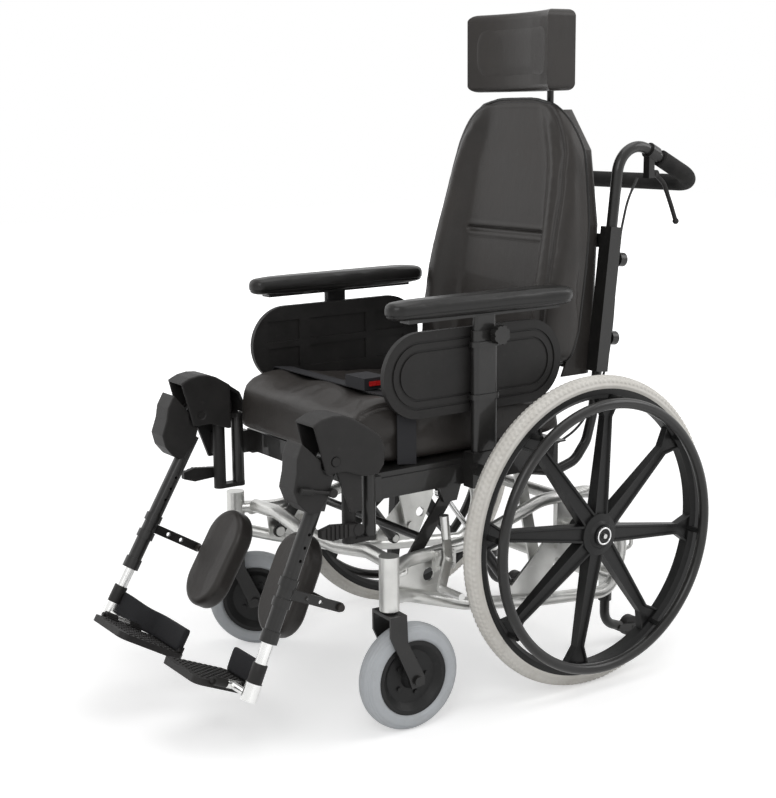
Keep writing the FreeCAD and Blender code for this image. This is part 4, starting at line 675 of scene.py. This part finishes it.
wayRound = np.concatenate([rim, acrossTop, (rim * (-1, 1, 1))[::-1]])
edgeSeam, _ = onto(backCushion, at(wayRound))
crease(backCushion, edgeSeam, 0.0032, 0.0020, 0.3)
stitches("backEdgeStitch", backCushion, edgeSeam + (0, 0.005, 0), thread, "seat")
stitches("backEdgeStitchInner", backCushion, edgeSeam * (0.975, 1, 1), thread, "seat")

# piping along the rear edge of the back cushion: a round cord carried along the outline
pipeLoop = softLoop(outline, 220, 2)
pipeLoop[:, 1] = np.maximum(pipeLoop[:, 1], 597)
pipe = np.stack([pipeLoop[:, 0] * 0.994, table["rear"](pipeLoop[:, 1]) - 9, pipeLoop[:, 1] * 0.9985], -1)
pipe, pipeNormal = onto(backCushion, at(pipe))
section = circle(0.0028, 8)
ring = pipe[:, None] + pipeNormal[:, None] * section[None, :, :1]
ahead = np.roll(pipe, -1, axis=0) - np.roll(pipe, 1, axis=0)
ahead /= np.maximum(np.linalg.norm(ahead, axis=1), 1e-9)[:, None]
ring = ring + np.cross(ahead, pipeNormal)[:, None] * section[None, :, 1:]
piping = makePiece("backPiping", ring, gridFaces(len(pipe), 8, closeRows=True), armSkin, "seat")
facesOut(piping)

# headrest
say("headrest")
headPad = {"halfX": 121.0, "low": 1146.0, "high": 1294.0, "round": 34.0, "thick": 70.0, "edge": 13.0, "voxel": 0.0045, "pressure": 4.0,
           "cap": 0.004, "smooth": 4, "fine": 1}
cx, r = headPad["halfX"], headPad["round"]
corners = []
for sx, sz, start in ((1, 1, 0), (-1, 1, 90), (-1, -1, 180), (1, -1, 270)):
    turn = np.radians(np.linspace(start, start + 90, 7))
    midZ = (headPad["high"] if sz > 0 else headPad["low"]) - sz * r
    corners += list(zip(sx * (cx - r) + r * np.cos(turn), midZ + r * np.sin(turn)))
loop = softLoop(corners, 100, 1)


# the pad wraps the head: front and back both follow a shallow parabola across the chair
def headPlace(x, z, d):
    bend = (x / 125.0) ** 2
    front = 73 - 30 * bend + 5 * rise(np.abs(z - 1220) / 78.0, 0.3, 1.0)
    rear = 140 - 30 * bend
    return np.stack([x, front + (rear - front) * d / headPad["thick"], z], -1)


points, faces = padPoints(loop, headPad["thick"], headPad["edge"], headPlace, rings=14)
headrest = makePiece("headrest", at(points), faces, vinyl, "headrest_pad")
facesOut(headrest)
swell(headrest, headPad)
ringLoop = inwards(loop, 1.0)
bend = (ringLoop[:, 0] / 125.0) ** 2
for name, depth, groove in (("headSeam", 13.0, True), ("headStitch", 19.0, False)):
    line = at(np.stack([ringLoop[:, 0], 73 - 30 * bend + depth, ringLoop[:, 1]], -1))
    line, _ = onto(headrest, np.vstack([line, line[:1]]))
    if groove:
        crease(headrest, line, 0.0030, 0.0022, 0.3)
    else:
        stitches(name, headrest, line, thread, "headrest_pad")

# arm pads
say("arm pads")
armPad = {"centre": 240.5, "front": -427.0, "rear": -1.0, "halfFront": 25.0, "halfRear": 33.5, "low": 745.4, "thick": 31.0, "edge": 12.0,
          "voxel": 0.004, "pressure": 3.0, "cap": 0.003, "smooth": 3, "fine": 1}
nose, tail = armPad["halfFront"], armPad["halfRear"]
shape = [(armPad["centre"] + nose * math.sin(t), armPad["front"] + nose - nose * math.cos(t)) for t in np.radians(np.linspace(-90, 90, 9))]
shape += [(armPad["centre"] + tail, -160), (armPad["centre"] + tail, -90)]
shape += [(armPad["centre"] + tail * math.cos(t), armPad["rear"] - tail + tail * math.sin(t)) for t in np.radians(np.linspace(0, 180, 11))]
shape += [(armPad["centre"] - tail, -90), (armPad["centre"] - tail, -160)]
loop = softLoop(shape, 130, 1)
points, faces = padPoints(loop, armPad["thick"], armPad["edge"], lambda a, b, d: np.stack([a, b, armPad["low"] + d], -1), rings=8)
for side, sign in sides.items():
    use = (points, faces) if sign > 0 else flipped((points, faces))
    pad = makePiece("armPad_" + side, at(use[0]), use[1], armSkin, "arm_" + side, replaces=("arm_pad_" + side,))
    facesOut(pad)
    swell(pad, armPad)
    ringLine = np.stack([loop[:, 0] * sign, loop[:, 1], np.full(len(loop), armPad["low"] + 6.0)], -1)
    line, _ = onto(pad, at(np.vstack([ringLine, ringLine[:1]])))
    crease(pad, line, 0.0013, 0.0011, 0.2)

# calf pads
say("calf pads")
legFrame = {"lean": math.radians(23.8), "y": -592.0, "z": 410.0, "foot": 117.0, "hingeY": -559.0, "hingeZ": 518.0, "raiseRight": 7.0}
down = np.array([0, -math.sin(legFrame["lean"]), -math.cos(legFrame["lean"])])
forward = np.array([0, -math.cos(legFrame["lean"]), math.sin(legFrame["lean"])])


def legPoint(height, x=0.0):  # a point of the leg tube's axis line at a height
    step = (legFrame["z"] - height) / math.cos(legFrame["lean"])
    return np.array([x, legFrame["y"], legFrame["z"]]) + down * step


def onLeg(points, side):  # the left leg rest's points as they are, or mirrored and raised for the right one
    points = np.asarray(points, float)
    if side == "left":
        return at(points)
    p = points * (-1, 1, 1)
    t = math.radians(-legFrame["raiseRight"])
    y, z = p[:, 1] - legFrame["hingeY"], p[:, 2] - legFrame["hingeZ"]
    return at(np.stack([p[:, 0], legFrame["hingeY"] + y * math.cos(t) - z * math.sin(t), legFrame["hingeZ"] + y * math.sin(t) + z * math.cos(t)], -1))


calfPad = {"x": 106.0, "half": 55.0, "height": 192.0, "round": 46.0, "middle": 190.0, "back": 117.0, "thick": 37.0, "edge": 17.0,
           "voxel": 0.004, "pressure": 4.0, "cap": 0.004, "smooth": 4, "fine": 1}
w, h, r = calfPad["half"], calfPad["height"] / 2, calfPad["round"]
corners = []
for sx, sz, start in ((1, 1, 0), (-1, 1, 90), (-1, -1, 180), (1, -1, 270)):
    turn = np.radians(np.linspace(start, start + 90, 6))
    corners += list(zip(sx * (w - r) + r * np.cos(turn), sz * (h - r) + r * np.sin(turn)))
loop = softLoop(corners, 90, 1)
origin = legPoint(legFrame["foot"]) - down * calfPad["middle"] - forward * calfPad["back"]
origin = origin + (calfPad["x"], 0, 0)


# local x, height up the leg and depth forwards; the front dips in the middle for the calf
def calfPlace(a, b, d):
    dip = 7.0 * (1 - (a / w) ** 2).clip(0) * (1 - (b / h) ** 4).clip(0) * (d / calfPad["thick"]) ** 2
    return origin + np.outer(a, (1, 0, 0)) - np.outer(b, down) + np.outer(1.0 + d - dip, forward)


points, faces = padPoints(loop, calfPad["thick"], calfPad["edge"], calfPlace, rings=10)
base = makePiece("calfBase", at(points), faces, vinyl, None)
facesOut(base)
swell(base, calfPad)
swollen = coords(base) * 1000 - (0, rowShift * 1000, 0)
polygons = [list(q.vertices) for q in base.data.polygons]
bpy.data.objects.remove(base)
for side in sides:
    use = polygons if side == "left" else [q[::-1] for q in polygons]
    pad = makePiece("calfPad_" + side, onLeg(swollen, side), use, vinyl, "calf_pad_" + side)


# foot plates and heel straps
plateLook = {"inner": 36.0, "outer": 168.0, "front": 70.0, "rear": 76.0, "knob": 3.6, "pitch": 11.6, "rise": 1.8, "margin": 9.0,
             "strapWide": 6.4, "strapTall": 23.0, "strapLift": 24.0}


# a block standing on the plate: x, forward along the plate, and height above it, with its top drawn in a little
def plateBlocks(spots, half, high, low=-1.0):
    points, faces = [], []
    for x, u in spots:
        first = len(points)
        for shrink, n in ((1.0, low), (0.72, high)):
            for a, b in ((-1, -1), (1, -1), (1, 1), (-1, 1)):
                points.append((x + a * half * shrink, u + b * half * shrink, n))
        faces += [tuple(first + i for i in f) for f in ((4, 5, 6, 7), (0, 1, 5, 4), (1, 2, 6, 5), (2, 3, 7, 6), (3, 0, 4, 7), (3, 2, 1, 0))]
    return np.array(points), faces


def onPlate(points):  # from the plate's own x, forward and up to the chair's
    p = np.asarray(points, float)
    foot = legPoint(legFrame["foot"])
    return foot + np.outer(p[:, 0], (1, 0, 0)) + np.outer(p[:, 1], forward) - np.outer(p[:, 2], down)


edge, pitch = plateLook["margin"], plateLook["pitch"]
spots = [(x, u) for x in np.arange(plateLook["inner"] + edge, plateLook["outer"] - edge + 1, pitch)
         for u in np.arange(-plateLook["rear"] + 22, plateLook["front"] - edge, pitch)]
knobs, knobFaces = plateBlocks(spots, plateLook["knob"], plateLook["rise"])
strapPath = softLine([(234, -11), (200, -26), (166, -48), (150, -64), (120, -67.5), (80, -67.5), (52, -67)], 60, 2)
sleeve = np.array([(238.0, 0.0, n) for n in (14, 15, 30, 45, 60, 61)])
sleevePoints, sleeveFaces = tubePoints(sleeve, circle(13.4, 28), (0, 1, 0), (0.93, 1, 1, 1, 1, 0.93))
angle = np.arange(20) * 2 * np.pi / 20
band = np.stack([np.sign(np.cos(angle)) * np.abs(np.cos(angle)) ** 0.6 * plateLook["strapWide"],
                 np.sign(np.sin(angle)) * np.abs(np.sin(angle)) ** 0.35 * plateLook["strapTall"]], -1)
away = np.linspace(0, 1, len(strapPath))
sag = 6.0 * (1 - rise(away, 0.0, 0.4))
line = np.column_stack([strapPath, plateLook["strapLift"] + sag])
points, strapFaces = tubePoints(line, band)
for side in sides:
    turned = knobFaces if side == "left" else [f[::-1] for f in knobFaces]
    tread = makePiece("footTread_" + side, onLeg(onPlate(knobs), side), turned, blackPlastic, "foot_plate_" + side)
    facesOut(tread)
    tread.data.shade_flat()
    strap = makePiece("heelStrap_" + side, onLeg(onPlate(points), side), strapFaces, webStrap, "foot_plate_" + side)
    facesOut(strap)
    strap.data.uv_layers.new(name="UVMap")
    wrap = makePiece("footSleeve_" + side, onLeg(onPlate(sleevePoints), side), sleeveFaces, blackPlastic, "foot_tube_" + side)
    facesOut(wrap)

# axle caps: a black face turned over each axle's silver flange, with a bright ring near its edge
capLook = {"x": 347.3, "z": 305.0, "outer": 19.1, "inner": 5.2, "ring": 15.6, "ringThick": 1.7}


# points of a closed line of (along x, radius) carried round the wheel's axis
def capRing(line, count=64):
    turn = np.arange(count) * 2 * np.pi / count
    x, radius = np.asarray(line, float).T
    points = np.stack([np.broadcast_to(capLook["x"] + x, (count, len(x))), radius * np.sin(turn)[:, None],
                       capLook["z"] + radius * np.cos(turn)[:, None]], -1)
    return points.reshape(-1, 3), gridFaces(count, len(x), closeRows=True)


face = capRing([(-3.9, capLook["outer"] - 0.2), (-3.9, capLook["outer"] + 0.9), (-0.2, capLook["outer"] + 0.9), (0.7, capLook["outer"] - 0.4),
                (1.0, 12.0), (0.9, capLook["inner"]), (0.1, capLook["inner"])])
bright = capRing(np.array([(1.0, capLook["ring"])]) + circle(capLook["ringThick"], 12) * (0.8, 1.0))
for side, sign in sides.items():
    for name, shape, finish in (("axleCapFace_", face, wheelPlastic), ("axleCapRing_", bright, rodChrome)):
        points, capFaces = shape if sign > 0 else flipped(shape)
        facesOut(makePiece(name + side, at(points), capFaces, finish, "base"))

# moulded covers: a cover's own mesh is merged, remeshed even and smoothed, so that its edges are rounded
coverLook = {"voxel": 0.0014, "smooth": 10, "fine": 0, "grow": {"leg_cover_": 0.0, "leg_hanger_": 0.0011}}


def moulded(name, node, grow, body, replaces=()):
    import bmesh
    work = bmesh.new()
    work.from_mesh(nodes[node].data)
    bmesh.ops.remove_doubles(work, verts=work.verts, dist=0.00002)
    work.verts.ensure_lookup_table()
    height = max(work.verts, key=lambda v: v.co.z - v.co.y)  # the cover is what reaches highest at the front
    found, ahead = {height}, [height]
    while ahead:
        for link in ahead.pop().link_edges:
            for v in link.verts:
                if v not in found:
                    found.add(v)
                    ahead.append(v)
    order = {v: i for i, v in enumerate(found)}
    points = np.array([v.co[:] for v in order])
    faces = [[order[v] for v in f.verts] for f in work.faces if f.verts[0] in found]
    work.free()
    piece = makePiece(name, points, faces, blackPlastic, body, replaces=replaces)
    swell(piece, coverLook)
    if grow:
        setCoords(piece, coords(piece) + normalsAt(piece) * grow)
    return piece


say("moulded covers")
for side in sides:
    moulded("kneeCoverFront_" + side, "leg_cover_" + side, coverLook["grow"]["leg_cover_"], "leg_" + side, ("leg_cover_" + side,))
    moulded("kneeCoverRear_" + side, "leg_hanger_" + side, coverLook["grow"]["leg_hanger_"], "leg_hanger_" + side)

# camera, floor and light
say("camera")
cameraSet = {"azimuth": 56.86, "elevation": 10.52, "roll": -0.89, "place": (2.323, -1.880, 1.114), "lens": 65.9, "shift": (0.057, -0.0242)}
a, e, r = (math.radians(cameraSet[k]) for k in ("azimuth", "elevation", "roll"))
right = Vector((math.cos(a), math.sin(a), 0))
back = Vector((math.sin(a) * math.cos(e), -math.cos(a) * math.cos(e), math.sin(e)))
up = back.cross(right)
turnedRight = right * math.cos(r) + up * math.sin(r)
turnedUp = up * math.cos(r) - right * math.sin(r)
camera = bpy.data.objects.new("camera", bpy.data.cameras.new("camera"))
camera.matrix_world = Matrix.Translation(Vector(cameraSet["place"]) + Vector((0, rowShift, 0))) @ Matrix((turnedRight, turnedUp, back)).transposed().to_4x4()
camera.data.lens = cameraSet["lens"]
camera.data.sensor_width = 36.0
camera.data.shift_x, camera.data.shift_y = cameraSet["shift"]
bpy.context.collection.objects.link(camera)
bpy.context.scene.camera = camera

floorSet = {"half": 12.0, "colour": (0.80, 0.80, 0.80, 1)}
floorMesh = bpy.data.meshes.new("floor")
h = floorSet["half"]
floorMesh.from_pydata([(-h, -h, 0), (h, -h, 0), (h, h, 0), (-h, h, 0)], [], [(0, 1, 2, 3)])
floor = bpy.data.objects.new("floor", floorMesh)
bpy.context.collection.objects.link(floor)
floorLook = Finish("floor")
rays = floorLook.node("ShaderNodeLightPath")
seen = rays.socket.node.outputs
pale = floorLook.node("ShaderNodeBsdfDiffuse", {}, {"Color": floorSet["colour"]})
reach = floorLook.node("ShaderNodeVectorMath", {"operation": "LENGTH"}, {0: floorLook.node("ShaderNodeTexCoord", take="Object")}, take="Value")
white = floorLook.node("ShaderNodeEmission", {}, {"Color": (1, 1, 1, 1), "Strength": floorLook.ramp(reach, 1.2, 4.5) * 0.7 + 0.45})
both = floorLook.node("ShaderNodeAddShader", {}, {0: pale, 1: white})
whichRay = Wire(floorLook, seen["Is Camera Ray"]).most(Wire(floorLook, seen["Is Glossy Ray"]))
floorLook.feed(floorLook.tree.nodes["Material Output"].inputs["Surface"],
               floorLook.node("ShaderNodeMixShader", {}, {0: whichRay, 1: pale, 2: both}))
floorMesh.materials.append(floorLook.material)

world = bpy.data.worlds.new("studio")
bpy.context.scene.world = world
world.use_nodes = True
sky = world.node_tree
path = sky.nodes.new("ShaderNodeLightPath")
most = sky.nodes.new("ShaderNodeMath")
most.operation = "MAXIMUM"
sky.links.new(path.outputs["Is Camera Ray"], most.inputs[0])
sky.links.new(path.outputs["Is Glossy Ray"], most.inputs[1])
level = sky.nodes.new("ShaderNodeMapRange")
level.inputs["To Min"].default_value = 0.42
level.inputs["To Max"].default_value = 1.0
sky.links.new(most.outputs[0], level.inputs["Value"])
sky.nodes["Background"].inputs["Color"].default_value = (1, 1, 1, 1)
sky.links.new(level.outputs[0], sky.nodes["Background"].inputs["Strength"])

lamps = [
    {"name": "keyLight", "place": (2.6, -2.6, 3.0), "size": 2.2, "power": 52.0},
    {"name": "fillLight", "place": (-2.8, -2.0, 2.2), "size": 2.6, "power": 24.0},
    {"name": "topLight", "place": (0.2, 0.6, 3.6), "size": 2.4, "power": 30.0},
    {"name": "rimLight", "place": (1.6, 2.8, 2.4), "size": 1.8, "power": 30.0},
]
for lamp in lamps:
    light = bpy.data.lights.new(lamp["name"], "AREA")
    light.size = lamp["size"]
    light.energy = lamp["power"]
    holder = bpy.data.objects.new(lamp["name"], light)
    place = Vector(lamp["place"])
    aim = (place - Vector((0, 0, 0.6))).to_track_quat("Z", "Y")
    holder.matrix_world = Matrix.Translation(place) @ aim.to_matrix().to_4x4()
    bpy.context.collection.objects.link(holder)
bpy.context.scene.view_settings.view_transform = "Standard"
